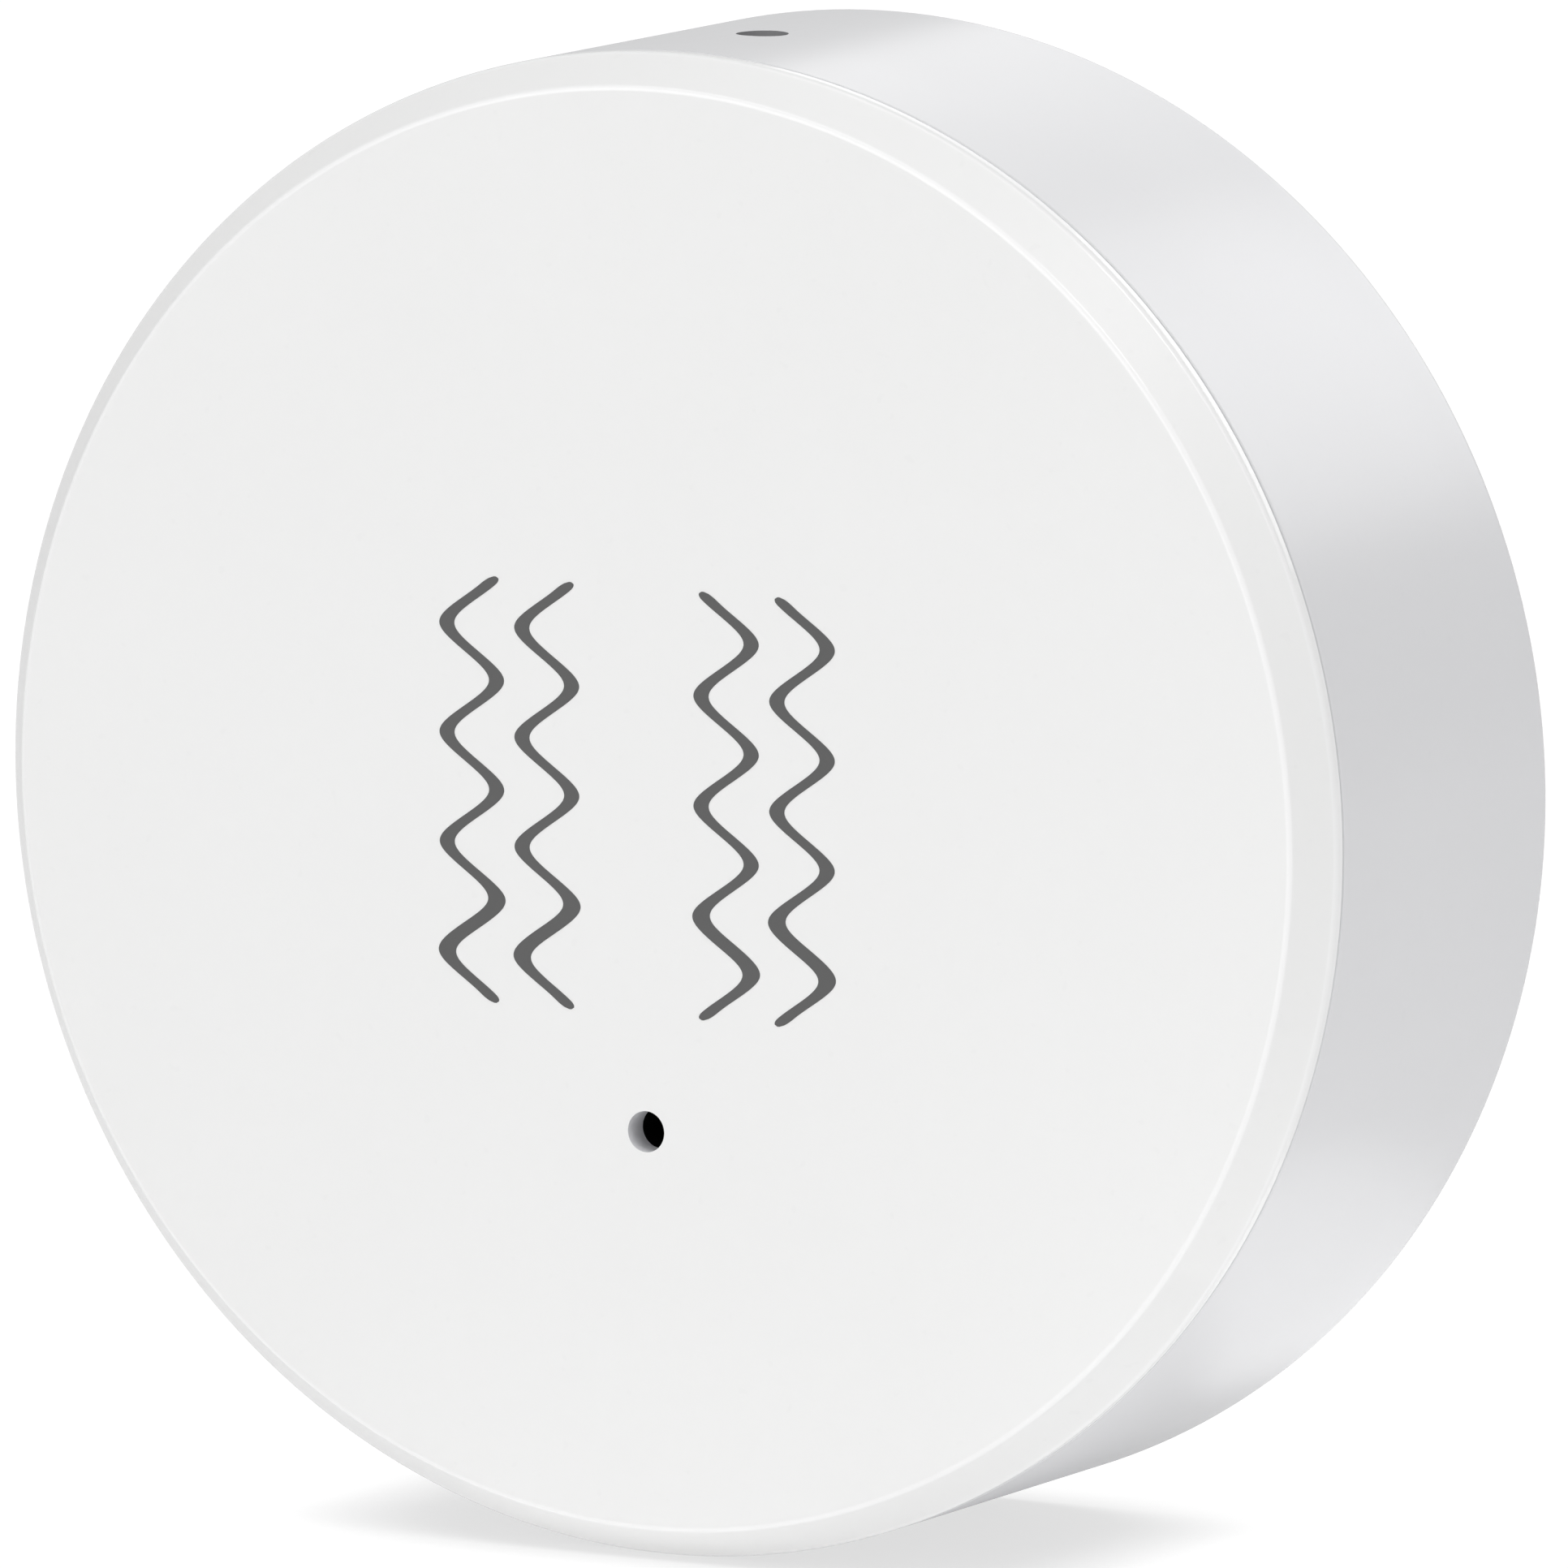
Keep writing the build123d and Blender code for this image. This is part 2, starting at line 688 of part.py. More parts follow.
# Negative contact: foot on the board, leaf under the tray floor that bears on the cell's cap
leaf_start_height = tray_back_height - strip_thickness / 2 - metal_gap
leaf_touch_height = cell_front_height + strip_thickness / 2 + metal_gap
with BuildPart() as negative_contact:
    with BuildSketch(profile_plane):
        with BuildLine():
            FilletPolyline(
                (-negative_leaf_length - negative_foot_length, foot_height),
                (-negative_leaf_length, foot_height),
                (-negative_leaf_length, leaf_start_height),
                (0, leaf_touch_height),
                (negative_tip_run, leaf_touch_height + negative_tip_rise),
                radius=contact_bend_radius,
            )
        trace(line_width=strip_thickness)
    extrude(amount=negative_strip_width / 2, both=True)
save(negative_contact, "negative_contact")

# Vibration switch: a capped tube along Z on the back of the board
tube_height = board_back_height - tube_radius
tube_low = -tube_length / 2
tube_inner_radius = tube_radius - tube_wall
with BuildPart() as vibration_switch_tube:
    with BuildSketch(Plane.XY.offset(tube_low)):
        with Locations((-tube_place, -tube_height)):
            Circle(tube_radius)
    extrude(amount=tube_length)
    with BuildSketch(Plane.XY.offset(tube_low)):
        with Locations((-tube_place, -tube_height)):
            Circle(tube_inner_radius)
    extrude(amount=tube_length - tube_wall, mode=Mode.SUBTRACT)
    chamfer(vibration_switch_tube.edges().sort_by(Axis.Z)[-1], length=tube_wall / 2)
save(vibration_switch_tube, "vibration_switch_tube")

# Base plug that closes the tube and holds pin and spring
spring_radius = spring_diameter / 2
pin_radius = pin_diameter / 2
wire_radius = spring_wire / 2
plug_top = tube_low + base_plug_length
with BuildPart() as vibration_switch_base:
    with BuildSketch(Plane.XY.offset(tube_low)):
        with Locations((-tube_place, -tube_height)):
            Circle(tube_inner_radius - metal_gap)
            Circle(pin_radius + metal_gap, mode=Mode.SUBTRACT)
        with Locations((-tube_place + spring_radius, -tube_height)):
            Circle(wire_radius + metal_gap, mode=Mode.SUBTRACT)
    extrude(amount=base_plug_length)
save(vibration_switch_base, "vibration_switch_base")

# Centre pin: runs up the middle of the spring, bends over to the board outside the tube
lead_end_z = tube_low - lead_run + pin_radius
pin_end = tube_length / 2 - tube_wall - pin_end_gap
with BuildPart() as vibration_switch_pin:
    with BuildLine() as pin_path:
        FilletPolyline(
            (-tube_place, -tube_height, pin_end),
            (-tube_place, -tube_height, lead_end_z),
            (-tube_place, -board_back_height, lead_end_z),
            radius=lead_bend_radius,
        )
    with BuildSketch(Plane(origin=pin_path.line @ 0, z_dir=pin_path.line % 0)):
        Circle(pin_radius)
    sweep(path=pin_path)
save(vibration_switch_pin, "vibration_switch_pin")


def coil_point(turn):
    """Point of the spring's centre line after so many turns, and its direction."""
    angle = 2 * pi * turn
    point = Vector(
        spring_radius * cos(angle) - tube_place,
        spring_radius * sin(angle) - tube_height,
        plug_top + spring_pitch * turn + wire_radius + spring_pitch / 2,
    )
    climb = spring_pitch / (2 * pi * spring_radius)
    return point, Vector(-sin(angle), cos(angle), climb).normalized()


def tangent_pair(start, start_way, end, end_way):
    """Two arcs, each running on from the last, that leave start and reach end along their ways."""
    chord = end - start
    ways = start_way + end_way
    spread = 2 * (1 - start_way.dot(end_way))
    reach = (sqrt(chord.dot(ways) ** 2 + spread * chord.dot(chord)) - chord.dot(ways)) / spread
    middle = (start + end) * (1 / 2) + (start_way - end_way) * (reach / 2)
    first_arc = TangentArc(start, middle, tangent=start_way)
    TangentArc(middle, end, tangent=first_arc % 1)


# Spring: one six-sided wire that stands in the plug and winds round the pin without touching it
wire_sides = 6
half_turns = 2 * spring_turns
with BuildPart() as vibration_switch_spring:
    with BuildLine() as spring_path:
        foot = Vector(spring_radius - tube_place, -tube_height, tube_low)
        foot_top = Vector(foot.X, foot.Y, plug_top)
        Line(foot, foot_top)
        tangent_pair(foot_top, Vector(0, 0, 1), *coil_point(1 / 4))
        for step in range(half_turns):
            start_turn = 1 / 4 + step / 2
            tangent_pair(*coil_point(start_turn), *coil_point(start_turn + 1 / 2))
    with BuildSketch(Plane(origin=spring_path.line @ 0, z_dir=(0, 0, 1))):
        RegularPolygon(radius=wire_radius, side_count=wire_sides)
    sweep(path=spring_path.wires()[0])
save(vibration_switch_spring, "vibration_switch_spring")

# Reset switch: moulded base with a chamber for the plunger, open towards the pinhole
switch_height_span = 2 * switch_axis_drop
flange_half = plunger_width / 2 + plunger_flange
chamber_top = switch_front_place - switch_front_wall
flange_low = chamber_top - plunger_gap - plunger_flange_depth
chamber_low = flange_low - plunger_travel - plunger_gap
dome_floor = chamber_low - dome_rise
dome_radius = dome_diameter / 2
with BuildPart() as reset_switch_base:
    with BuildSketch(Plane.XY.offset(switch_back_place)):
        with Locations((0, -reset_height)):
            Rectangle(switch_width, switch_height_span)
    extrude(amount=switch_depth)
    with BuildSketch(Plane.XY.offset(chamber_low)):
        with Locations((0, -reset_height)):
            Rectangle(2 * (flange_half + plunger_gap), plunger_height + 2 * plunger_gap)
    extrude(amount=chamber_top - chamber_low, mode=Mode.SUBTRACT)
    with BuildSketch(Plane.XY.offset(dome_floor)):
        with Locations((0, -reset_height)):
            Circle(dome_radius + plunger_gap / 2)
    extrude(amount=chamber_low - dome_floor, mode=Mode.SUBTRACT)
    with BuildSketch(Plane.XY.offset(chamber_low)):
        with Locations((0, -reset_height)):
            Rectangle(plunger_width + 2 * plunger_gap, plunger_height + 2 * plunger_gap)
    extrude(amount=switch_depth, mode=Mode.SUBTRACT)
save(reset_switch_base, "reset_switch_base")

# Steel frame folded over the base
frame_back_height = reset_height - switch_height_span / 2 - switch_frame_wall
with BuildPart() as reset_switch_frame:
    with BuildSketch(level(frame_back_height)):
        with Locations((0, (switch_back_place + switch_front_place) / 2)):
            Rectangle(switch_width + 2 * switch_frame_wall, switch_depth)
    extrude(amount=switch_frame_wall)
    with BuildSketch(level(frame_back_height)):
        side_x = (switch_width + switch_frame_wall) / 2
        for side in (-side_x, side_x):
            with Locations((side, (switch_back_place + switch_front_place) / 2)):
                Rectangle(switch_frame_wall, switch_depth)
    extrude(amount=board_back_height - frame_back_height)
save(reset_switch_frame, "reset_switch_frame")

# Snap dome that springs the plunger back
dome_plane = Plane(origin=(0, -reset_height, dome_floor), x_dir=(1, 0, 0), z_dir=(0, -1, 0))
dome_inner_radius = dome_radius - dome_wall
dome_outer_rise = dome_rise + plunger_gap / 2
with BuildPart() as reset_switch_dome:
    with BuildSketch(dome_plane):
        with BuildLine():
            outer_bow = ThreePointArc(
                (-dome_radius, 0), (0, dome_outer_rise), (dome_radius, 0)
            )
            inner_bow = ThreePointArc(
                (-dome_inner_radius, 0), (0, dome_outer_rise - dome_wall), (dome_inner_radius, 0)
            )
            Line(outer_bow @ 0, inner_bow @ 0)
            Line(outer_bow @ 1, inner_bow @ 1)
        make_face()
        split(bisect_by=Plane.YZ, keep=Keep.TOP)
    revolve(axis=Axis((0, -reset_height, dome_floor), (0, 0, 1)))
save(reset_switch_dome, "reset_switch_dome")

# Plunger: a flange held in the chamber, and a stem that stands out towards the pinhole
with BuildPart() as reset_switch_plunger:
    with BuildSketch(Plane.XY.offset(flange_low)):
        with Locations((0, -reset_height)):
            Rectangle(2 * flange_half, plunger_height)
    extrude(amount=plunger_flange_depth)
    with BuildSketch(Plane.XY.offset(flange_low)):
        with Locations((0, -reset_height)):
            Rectangle(plunger_width, plunger_height)
    extrude(amount=switch_front_place + plunger_stand - flange_low)
    fillet(reset_switch_plunger.faces().sort_by(Axis.Z)[-1].edges(), radius=plunger_edge_radius)
    with BuildSketch(Plane.XY.offset(flange_low)):
        with Locations((0, -reset_height)):
            Circle(dome_radius / 2)
    extrude(amount=-(plunger_travel + plunger_gap / 2))
save(reset_switch_plunger, "reset_switch_plunger")

print("spring wire gap between turns", round(spring_pitch - spring_wire, 3))
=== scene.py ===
"""Looks of the round vibration sensor tag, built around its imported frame.

Metres, in the frame of the part: the origin is the middle of the adhesive pad's outer
face, +Y points into the wall, the printed face looks to -Y and +Z is up. A height is a
distance in front of the wall, so a point at a given height has y = -height.
"""

from math import ceil, cos, pi, radians, sin, tan

import bmesh
import bpy
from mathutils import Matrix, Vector


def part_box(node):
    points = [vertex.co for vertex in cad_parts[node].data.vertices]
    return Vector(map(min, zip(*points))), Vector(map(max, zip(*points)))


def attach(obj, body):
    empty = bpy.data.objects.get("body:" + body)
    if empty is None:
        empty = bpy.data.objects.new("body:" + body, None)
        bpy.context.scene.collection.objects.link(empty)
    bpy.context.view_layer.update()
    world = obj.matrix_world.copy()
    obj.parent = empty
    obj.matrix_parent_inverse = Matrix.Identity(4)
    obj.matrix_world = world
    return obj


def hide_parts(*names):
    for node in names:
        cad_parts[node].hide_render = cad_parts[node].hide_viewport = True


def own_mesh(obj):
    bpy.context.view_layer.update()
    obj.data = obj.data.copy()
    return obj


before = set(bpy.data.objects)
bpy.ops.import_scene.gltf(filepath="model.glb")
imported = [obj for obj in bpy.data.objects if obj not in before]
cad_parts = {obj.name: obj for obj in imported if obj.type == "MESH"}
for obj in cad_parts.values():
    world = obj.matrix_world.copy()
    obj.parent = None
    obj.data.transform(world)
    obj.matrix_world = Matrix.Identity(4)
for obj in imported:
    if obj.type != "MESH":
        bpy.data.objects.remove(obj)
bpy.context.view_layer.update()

mm = 0.001

# Sizes read from the frame
cover_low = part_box("front_cover")[0]
shell_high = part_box("side_shell")[1]
plate_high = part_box("back_cover")[1]
pad_low, pad_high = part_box("adhesive_pad")
board_low, board_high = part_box("circuit_board")
sleeve_low, sleeve_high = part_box("led_sleeve")
switch_low, switch_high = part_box("reset_switch_base")

body_radius = shell_high.x
face_height = -cover_low.y
rim_height = -shell_high.y
board_back_height = -board_high.y
board_front_height = -board_low.y
plate_radius = plate_high.x
pad_radius = pad_high.x
pad_inner_height = -pad_low.y
reset_height = -(switch_low.y + switch_high.y) / 2

# Outside of the housing
chamfer_width = 0.86 * mm
chamfer_depth = 1.05 * mm
lip_depth = 0.35 * mm
lip_round = 0.30 * mm
face_round = 0.22 * mm
seam_round = 0.05 * mm
parting_width = 0.06 * mm
parting_depth = 0.1 * mm
back_round = 0.3 * mm
light_hole_radius = 0.55 * mm
light_hole_drop = 8.53 * mm
light_hole_wall = 0.8 * mm
reset_hole_radius = 0.7 * mm

# Inside of the housing
face_wall = 1.2 * mm
shell_wall = 1.5 * mm
skirt_wall = 1.1 * mm
skirt_lead = 0.3 * mm
fit_gap = 0.1 * mm
ledge_width = 2.3 * mm
ledge_thickness = 0.8 * mm
boss_radius = 1.8 * mm
boss_gap = 0.4 * mm
gusset_width = 0.9 * mm
pilot_radius = 0.73 * mm
pilot_floor = 0.6 * mm
turret_wall = 0.8 * mm
turret_depth = 0.7 * mm
screw_turns = [45.0, 135.0, 270.0]
key_turn = 315.0
key_sweep = 8.0
key_play = 1.0
overrun = 1.0 * mm

# Twist lock
plate_round = 0.3 * mm
plate_web = 1.0 * mm
ring_gap = 1.5 * mm
ring_wall = 1.2 * mm
lug_turns = [90.0, 210.0, 330.0]
lug_sweep = 18.0
lug_rise = 1.3 * mm
lug_thickness = 0.8 * mm
lug_reach = 1.1 * mm
catch_sweep = 24.0
catch_gap = 0.2 * mm
catch_rise = 0.2 * mm
catch_thickness = 0.9 * mm
stop_sweep = 2.0
stop_play = 0.5
twist = 25.0
rib_width = 0.8 * mm
rib_rise = 0.5 * mm
rib_overlap = ring_wall / 4
foam_radius = 6.0 * mm

# Printed mark: two wavy lines each side of a bare middle
mark_centre = (-0.285 * mm, 0.26 * mm)
mark_half_period = 1.46 * mm
mark_end_leg = 1.31 * mm
mark_bends = 7
mark_swing = 0.755 * mm
mark_stroke = 0.45 * mm
mark_sharpness = 0.70
mark_heavy_leg = -3.65 * mm
mark_heavy_reach = 0.75 * mm
mark_heavy_share = 0.4
mark_heavy_fade_share = 0.37
mark_end_fullness = 1.02
mark_rise = 0.012 * mm
mark_columns = [2.71 * mm, 4.99 * mm]

# Fineness
turn_steps = 256
round_steps = 6
hole_steps = 64
sector_steps_per_turn = 180
mark_steps_across = 9
mark_steps_along = 241
support_gap = 0.03 * mm
weld_gap = 0.0005 * mm
crease_angle = radians(28)

# Limits on how far a face leans, by which the roundings and bores are told apart
tilt_margin = 0.02
flat_tilt = 0.995
bore_tilt = 0.5

# Fine surface: pattern sizes in millimetres and noise scales per metre
mm_per_metre = 1000.0
grain_bump = 0.02 * mm
brush_bump = 0.01 * mm
roughness_cloud_scale = 180.0
speck_scale = 2600.0
speck_limits = (0.70, 0.76)
speck_tone_share = 0.72
roughness_spread_share = 0.2
metal_roughness_shares = (0.8, 1.2)
metal_stain_share = 0.93
metal_drift_size = 3.0
brush_stretch_share = 0.04


# Materials


def node(tree, kind, inputs=(), **settings):
    """Add a node to a tree, with its properties and its named or numbered inputs."""
    made = tree.nodes.new(kind)
    for key, value in settings.items():
        setattr(made, key, value)
    for socket, value in dict(inputs).items():
        made.inputs[socket].default_value = value
    return made


def group_tree(name, inputs, outputs):
    """Empty shader group with typed, named sockets."""
    tree = bpy.data.node_groups.new(name, "ShaderNodeTree")
    for label, kind, start in inputs:
        socket = tree.interface.new_socket(name=label, in_out="INPUT", socket_type=kind)
        socket.default_value = start
    for label, kind in outputs:
        tree.interface.new_socket(name=label, in_out="OUTPUT", socket_type=kind)
    return tree


def sized_noise(tree, place, size, **inputs):
    """Noise over a place, with features of about a size given in millimetres."""
    frequency = node(tree, "ShaderNodeMath", operation="DIVIDE", inputs={0: mm_per_metre})
    tree.links.new(size, frequency.inputs[1])
    noise = node(tree, "ShaderNodeTexNoise", inputs=inputs)
    tree.links.new(place, noise.inputs["Vector"])
    tree.links.new(frequency.outputs[0], noise.inputs["Scale"])
    return noise.outputs["Fac"]


def bumped(tree, height, depth, distance):
    """Normal of a surface that a height pushes in or out by up to a distance."""
    bump = node(tree, "ShaderNodeBump", inputs={"Distance": distance})
    tree.links.new(depth, bump.inputs["Strength"])
    tree.links.new(height, bump.inputs["Height"])
    return bump.outputs["Normal"]


def make_grain_group():
    """Fine moulded or spark-eroded grain: a normal and a small change of roughness."""
    tree = group_tree(
        "moulded grain",
        [
            ("Grain size", "NodeSocketFloat", 0.08),
            ("Depth", "NodeSocketFloat", 0.1),
            ("Roughness", "NodeSocketFloat", 0.4),
            ("Roughness spread", "NodeSocketFloat", 0.05),
        ],
        [("Normal", "NodeSocketVector"), ("Roughness", "NodeSocketFloat")],
    )
    link = tree.links.new
    given = node(tree, "NodeGroupInput")
    result = node(tree, "NodeGroupOutput")
    place = node(tree, "ShaderNodeTexCoord")
    grain_size = given.outputs["Grain size"]
    grain = sized_noise(tree, place.outputs["Object"], grain_size, Detail=3.0, Roughness=0.6)
    normal = bumped(tree, grain, given.outputs["Depth"], grain_bump)
    link(normal, result.inputs["Normal"])
    cloud_inputs = {"Scale": roughness_cloud_scale, "Detail": 4.0}
    cloud = node(tree, "ShaderNodeTexNoise", inputs=cloud_inputs)
    link(place.outputs["Object"], cloud.inputs["Vector"])
    centred = node(tree, "ShaderNodeMath", operation="SUBTRACT", inputs={1: 0.5})
    link(cloud.outputs["Fac"], centred.inputs[0])
    spread = node(tree, "ShaderNodeMath", operation="MULTIPLY_ADD")
    link(centred.outputs[0], spread.inputs[0])
    link(given.outputs["Roughness spread"], spread.inputs[1])
    link(given.outputs["Roughness"], spread.inputs[2])
    link(spread.outputs[0], result.inputs["Roughness"])
    return tree


def make_tone_group():
    """Slow drift between two close tones, with sparse darker specks of dust or filler."""
    tree = group_tree(
        "tone drift",
        [
            ("Tone", "NodeSocketColor", (0.8, 0.8, 0.8, 1)),
            ("Other tone", "NodeSocketColor", (0.75, 0.75, 0.75, 1)),
            ("Drift size", "NodeSocketFloat", 6.0),
            ("Speck", "NodeSocketColor", (0.5, 0.5, 0.5, 1)),
            ("Speck amount", "NodeSocketFloat", 0.0),
        ],
        [("Color", "NodeSocketColor")],
    )
    link = tree.links.new
    given = node(tree, "NodeGroupInput")
    result = node(tree, "NodeGroupOutput")
    place = node(tree, "ShaderNodeTexCoord")
    drift = sized_noise(tree, place.outputs["Object"], given.outputs["Drift size"], Detail=2.0)
    blend = node(tree, "ShaderNodeMix", data_type="RGBA")
    link(drift, blend.inputs["Factor"])
    link(given.outputs["Tone"], blend.inputs[6])
    link(given.outputs["Other tone"], blend.inputs[7])
    specks = node(tree, "ShaderNodeTexNoise", inputs={"Scale": speck_scale, "Detail": 1.0})
    link(place.outputs["Object"], specks.inputs["Vector"])
    sparse = node(tree, "ShaderNodeMapRange")
    sparse.inputs["From Min"].default_value, sparse.inputs["From Max"].default_value = speck_limits
    link(specks.outputs["Fac"], sparse.inputs["Value"])
    amount = node(tree, "ShaderNodeMath", operation="MULTIPLY")
    link(sparse.outputs["Result"], amount.inputs[0])
    link(given.outputs["Speck amount"], amount.inputs[1])
    speckled = node(tree, "ShaderNodeMix", data_type="RGBA")
    link(amount.outputs[0], speckled.inputs["Factor"])
    link(blend.outputs[2], speckled.inputs[6])
    link(given.outputs["Speck"], speckled.inputs[7])
    link(speckled.outputs[2], result.inputs["Color"])
    return tree


def make_brush_group():
    """Fine scratches of rolled or stamped sheet, drawn out along one way."""
    tree = group_tree(
        "rolled marks",
        [("Line size", "NodeSocketFloat", 0.05), ("Depth", "NodeSocketFloat", 0.1)],
        [("Normal", "NodeSocketVector"), ("Lines", "NodeSocketFloat")],
    )
    link = tree.links.new
    given = node(tree, "NodeGroupInput")
    result = node(tree, "NodeGroupOutput")
    place = node(tree, "ShaderNodeTexCoord")
    drawn = node(tree, "ShaderNodeMapping", inputs={"Scale": (brush_stretch_share, 1.0, 1.0)})
    link(place.outputs["Object"], drawn.inputs["Vector"])
    lines = sized_noise(tree, drawn.outputs["Vector"], given.outputs["Line size"], Detail=2.0)
    link(bumped(tree, lines, given.outputs["Depth"], brush_bump), result.inputs["Normal"])
    link(lines, result.inputs["Lines"])
    return tree


grain_group = make_grain_group()
tone_group = make_tone_group()
brush_group = make_brush_group()


def close_tone(colour, share):
    """Colour with its brightness changed by a share."""
    return tuple(channel * share for channel in colour[:3]) + (1,)


def new_material(name):
    """Empty material, with its tree and its shader."""
    material = bpy.data.materials.new(name)
    material.use_nodes = True
    return material, material.node_tree, material.node_tree.nodes["Principled BSDF"]


def moulded(name, colour, roughness, grain_size, grain, speck=0.0, drift=0.985, **surface):
    """Moulded plastic, foam or ceramic, with a drift of its tone, specks and grain.

    The grain has a size in millimetres and a depth from 0 to 1. The tone drifts down to a
    share of its brightness. The rest are values of the shader's own sockets.
    """
    material, tree, shader = new_material(name)
    tone_inputs = {
        "Tone": (*colour, 1),
        "Other tone": close_tone(colour, drift),
        "Speck": close_tone(colour, speck_tone_share),
        "Speck amount": speck,
    }
    tone = node(tree, "ShaderNodeGroup", node_tree=tone_group, inputs=tone_inputs)
    finish_inputs = {
        "Grain size": grain_size,
        "Depth": grain,
        "Roughness": roughness,
        "Roughness spread": roughness * roughness_spread_share,
    }
    finish = node(tree, "ShaderNodeGroup", node_tree=grain_group, inputs=finish_inputs)
    tree.links.new(tone.outputs["Color"], shader.inputs["Base Color"])
    tree.links.new(finish.outputs["Roughness"], shader.inputs["Roughness"])
    tree.links.new(finish.outputs["Normal"], shader.inputs["Normal"])
    for socket, value in surface.items():
        shader.inputs[socket.replace("_", " ")].default_value = value
    return material


def metal(name, colour, roughness, line_size, depth):
    """Rolled, drawn or plated metal with fine lines and slightly uneven roughness.

    The lines have a width in millimetres and a depth from 0 to 1.
    """
    material, tree, shader = new_material(name)
    shader.inputs["Metallic"].default_value = 1.0
    tone_inputs = {
        "Tone": (*colour, 1),
        "Other tone": close_tone(colour, metal_stain_share),
        "Drift size": metal_drift_size,
    }
    tone = node(tree, "ShaderNodeGroup", node_tree=tone_group, inputs=tone_inputs)
    line_inputs = {"Line size": line_size, "Depth": depth}
    lines = node(tree, "ShaderNodeGroup", node_tree=brush_group, inputs=line_inputs)
    smooth_share, rough_share = metal_roughness_shares
    spread = {"To Min": roughness * smooth_share, "To Max": roughness * rough_share}
    uneven = node(tree, "ShaderNodeMapRange", inputs=spread)
    tree.links.new(tone.outputs["Color"], shader.inputs["Base Color"])
    tree.links.new(lines.outputs["Lines"], uneven.inputs["Value"])
    tree.links.new(uneven.outputs["Result"], shader.inputs["Roughness"])
    tree.links.new(lines.outputs["Normal"], shader.inputs["Normal"])
    return material


# Each finish: its name, colour and roughness, and the size and depth of its grain or lines
cover_white = moulded("cover_white", (0.86, 0.86, 0.857), 0.42, 0.07, 0.10, speck=0.05)
# The side shell's satin gloss is its own, but its tone, darker and bluer than the cover's white,
# is painted shade on the side wall
shell_shaded_white = moulded("shell_shaded_white", (0.765, 0.766, 0.782), 0.26, 0.25, 0.03, speck=0.03)
plate_white = moulded("plate_white", (0.80, 0.80, 0.795), 0.45, 0.1, 0.15)
print_grey = moulded("print_grey", (0.095, 0.095, 0.095), 0.55, 0.05, 0.08, drift=0.93)
pad_foam = moulded("pad_foam", (0.72, 0.72, 0.70), 0.95, 0.25, 1.0, drift=0.9)
cell_foam = moulded("cell_foam", (0.10, 0.10, 0.105), 0.95, 0.3, 1.0, drift=0.8)
tray_grey = moulded("tray_grey", (0.10, 0.10, 0.11), 0.5, 0.1, 0.2)
board_green = moulded("board_green", (0.012, 0.11, 0.045), 0.28, 0.3, 0.12, drift=0.8)
module_black = moulded("module_black", (0.012, 0.013, 0.016), 0.3, 0.2, 0.1, drift=0.7)
chip_black = moulded("chip_black", (0.02, 0.02, 0.021), 0.55, 0.06, 0.3, drift=0.8)
block_yellow = moulded("block_yellow", (0.72, 0.42, 0.05), 0.45, 0.08, 0.2, drift=0.9)
ceramic_tan = moulded("ceramic_tan", (0.36, 0.24, 0.13), 0.5, 0.1, 0.25, drift=0.85)
lens_green = moulded("lens_green", (0.55, 0.75, 0.55), 0.15, 0.3, 0.03, Coat_Weight=0.6)
sleeve_black = moulded(
    "sleeve_black", (0.006, 0.006, 0.006), 0.95, 0.1, 0.3, drift=0.8, Specular_IOR_Level=0.0
)
# The coat and low roughness of the rim roundings are a real finish, but their tone, brighter than
# the cover's white, is a painted highlight along the edges
edge_highlight_white = moulded("edge_highlight_white", (0.93, 0.93, 0.93), 0.25, 0.25, 0.02, Coat_Weight=0.3)
# Dark grey on the bore of the reset pinhole in the white shell: painted shade inside the hole
pinhole_painted_shade = moulded("pinhole_painted_shade", (0.33, 0.33, 0.34), 0.8, 0.2, 0.1, Specular_IOR_Level=0.2)
# The light hole's bore is the cover's own white plastic; its lower tone than the cover's white is
# painted shade inside the hole
bore_shaded_white = moulded("bore_shaded_white", (0.74, 0.74, 0.76), 0.7, 0.2, 0.1, Specular_IOR_Level=0.2)
gasket_grey = moulded("gasket_grey", (0.16, 0.16, 0.17), 0.6, 0.1, 0.3, drift=0.85)
tube_blue = moulded("tube_blue", (0.02, 0.07, 0.22), 0.35, 0.2, 0.1, drift=0.85)
switch_black = moulded("switch_black", (0.018, 0.018, 0.02), 0.45, 0.08, 0.25, drift=0.8)
screw_steel = metal("screw_steel", (0.62, 0.61, 0.59), 0.28, 0.05, 0.15)
cell_steel = metal("cell_steel", (0.70, 0.69, 0.67), 0.22, 0.08, 0.2)
tin_plate = metal("tin_plate", (0.66, 0.66, 0.64), 0.3, 0.06, 0.2)
plated_gold = metal("plated_gold", (0.88, 0.62, 0.27), 0.28, 0.05, 0.12)

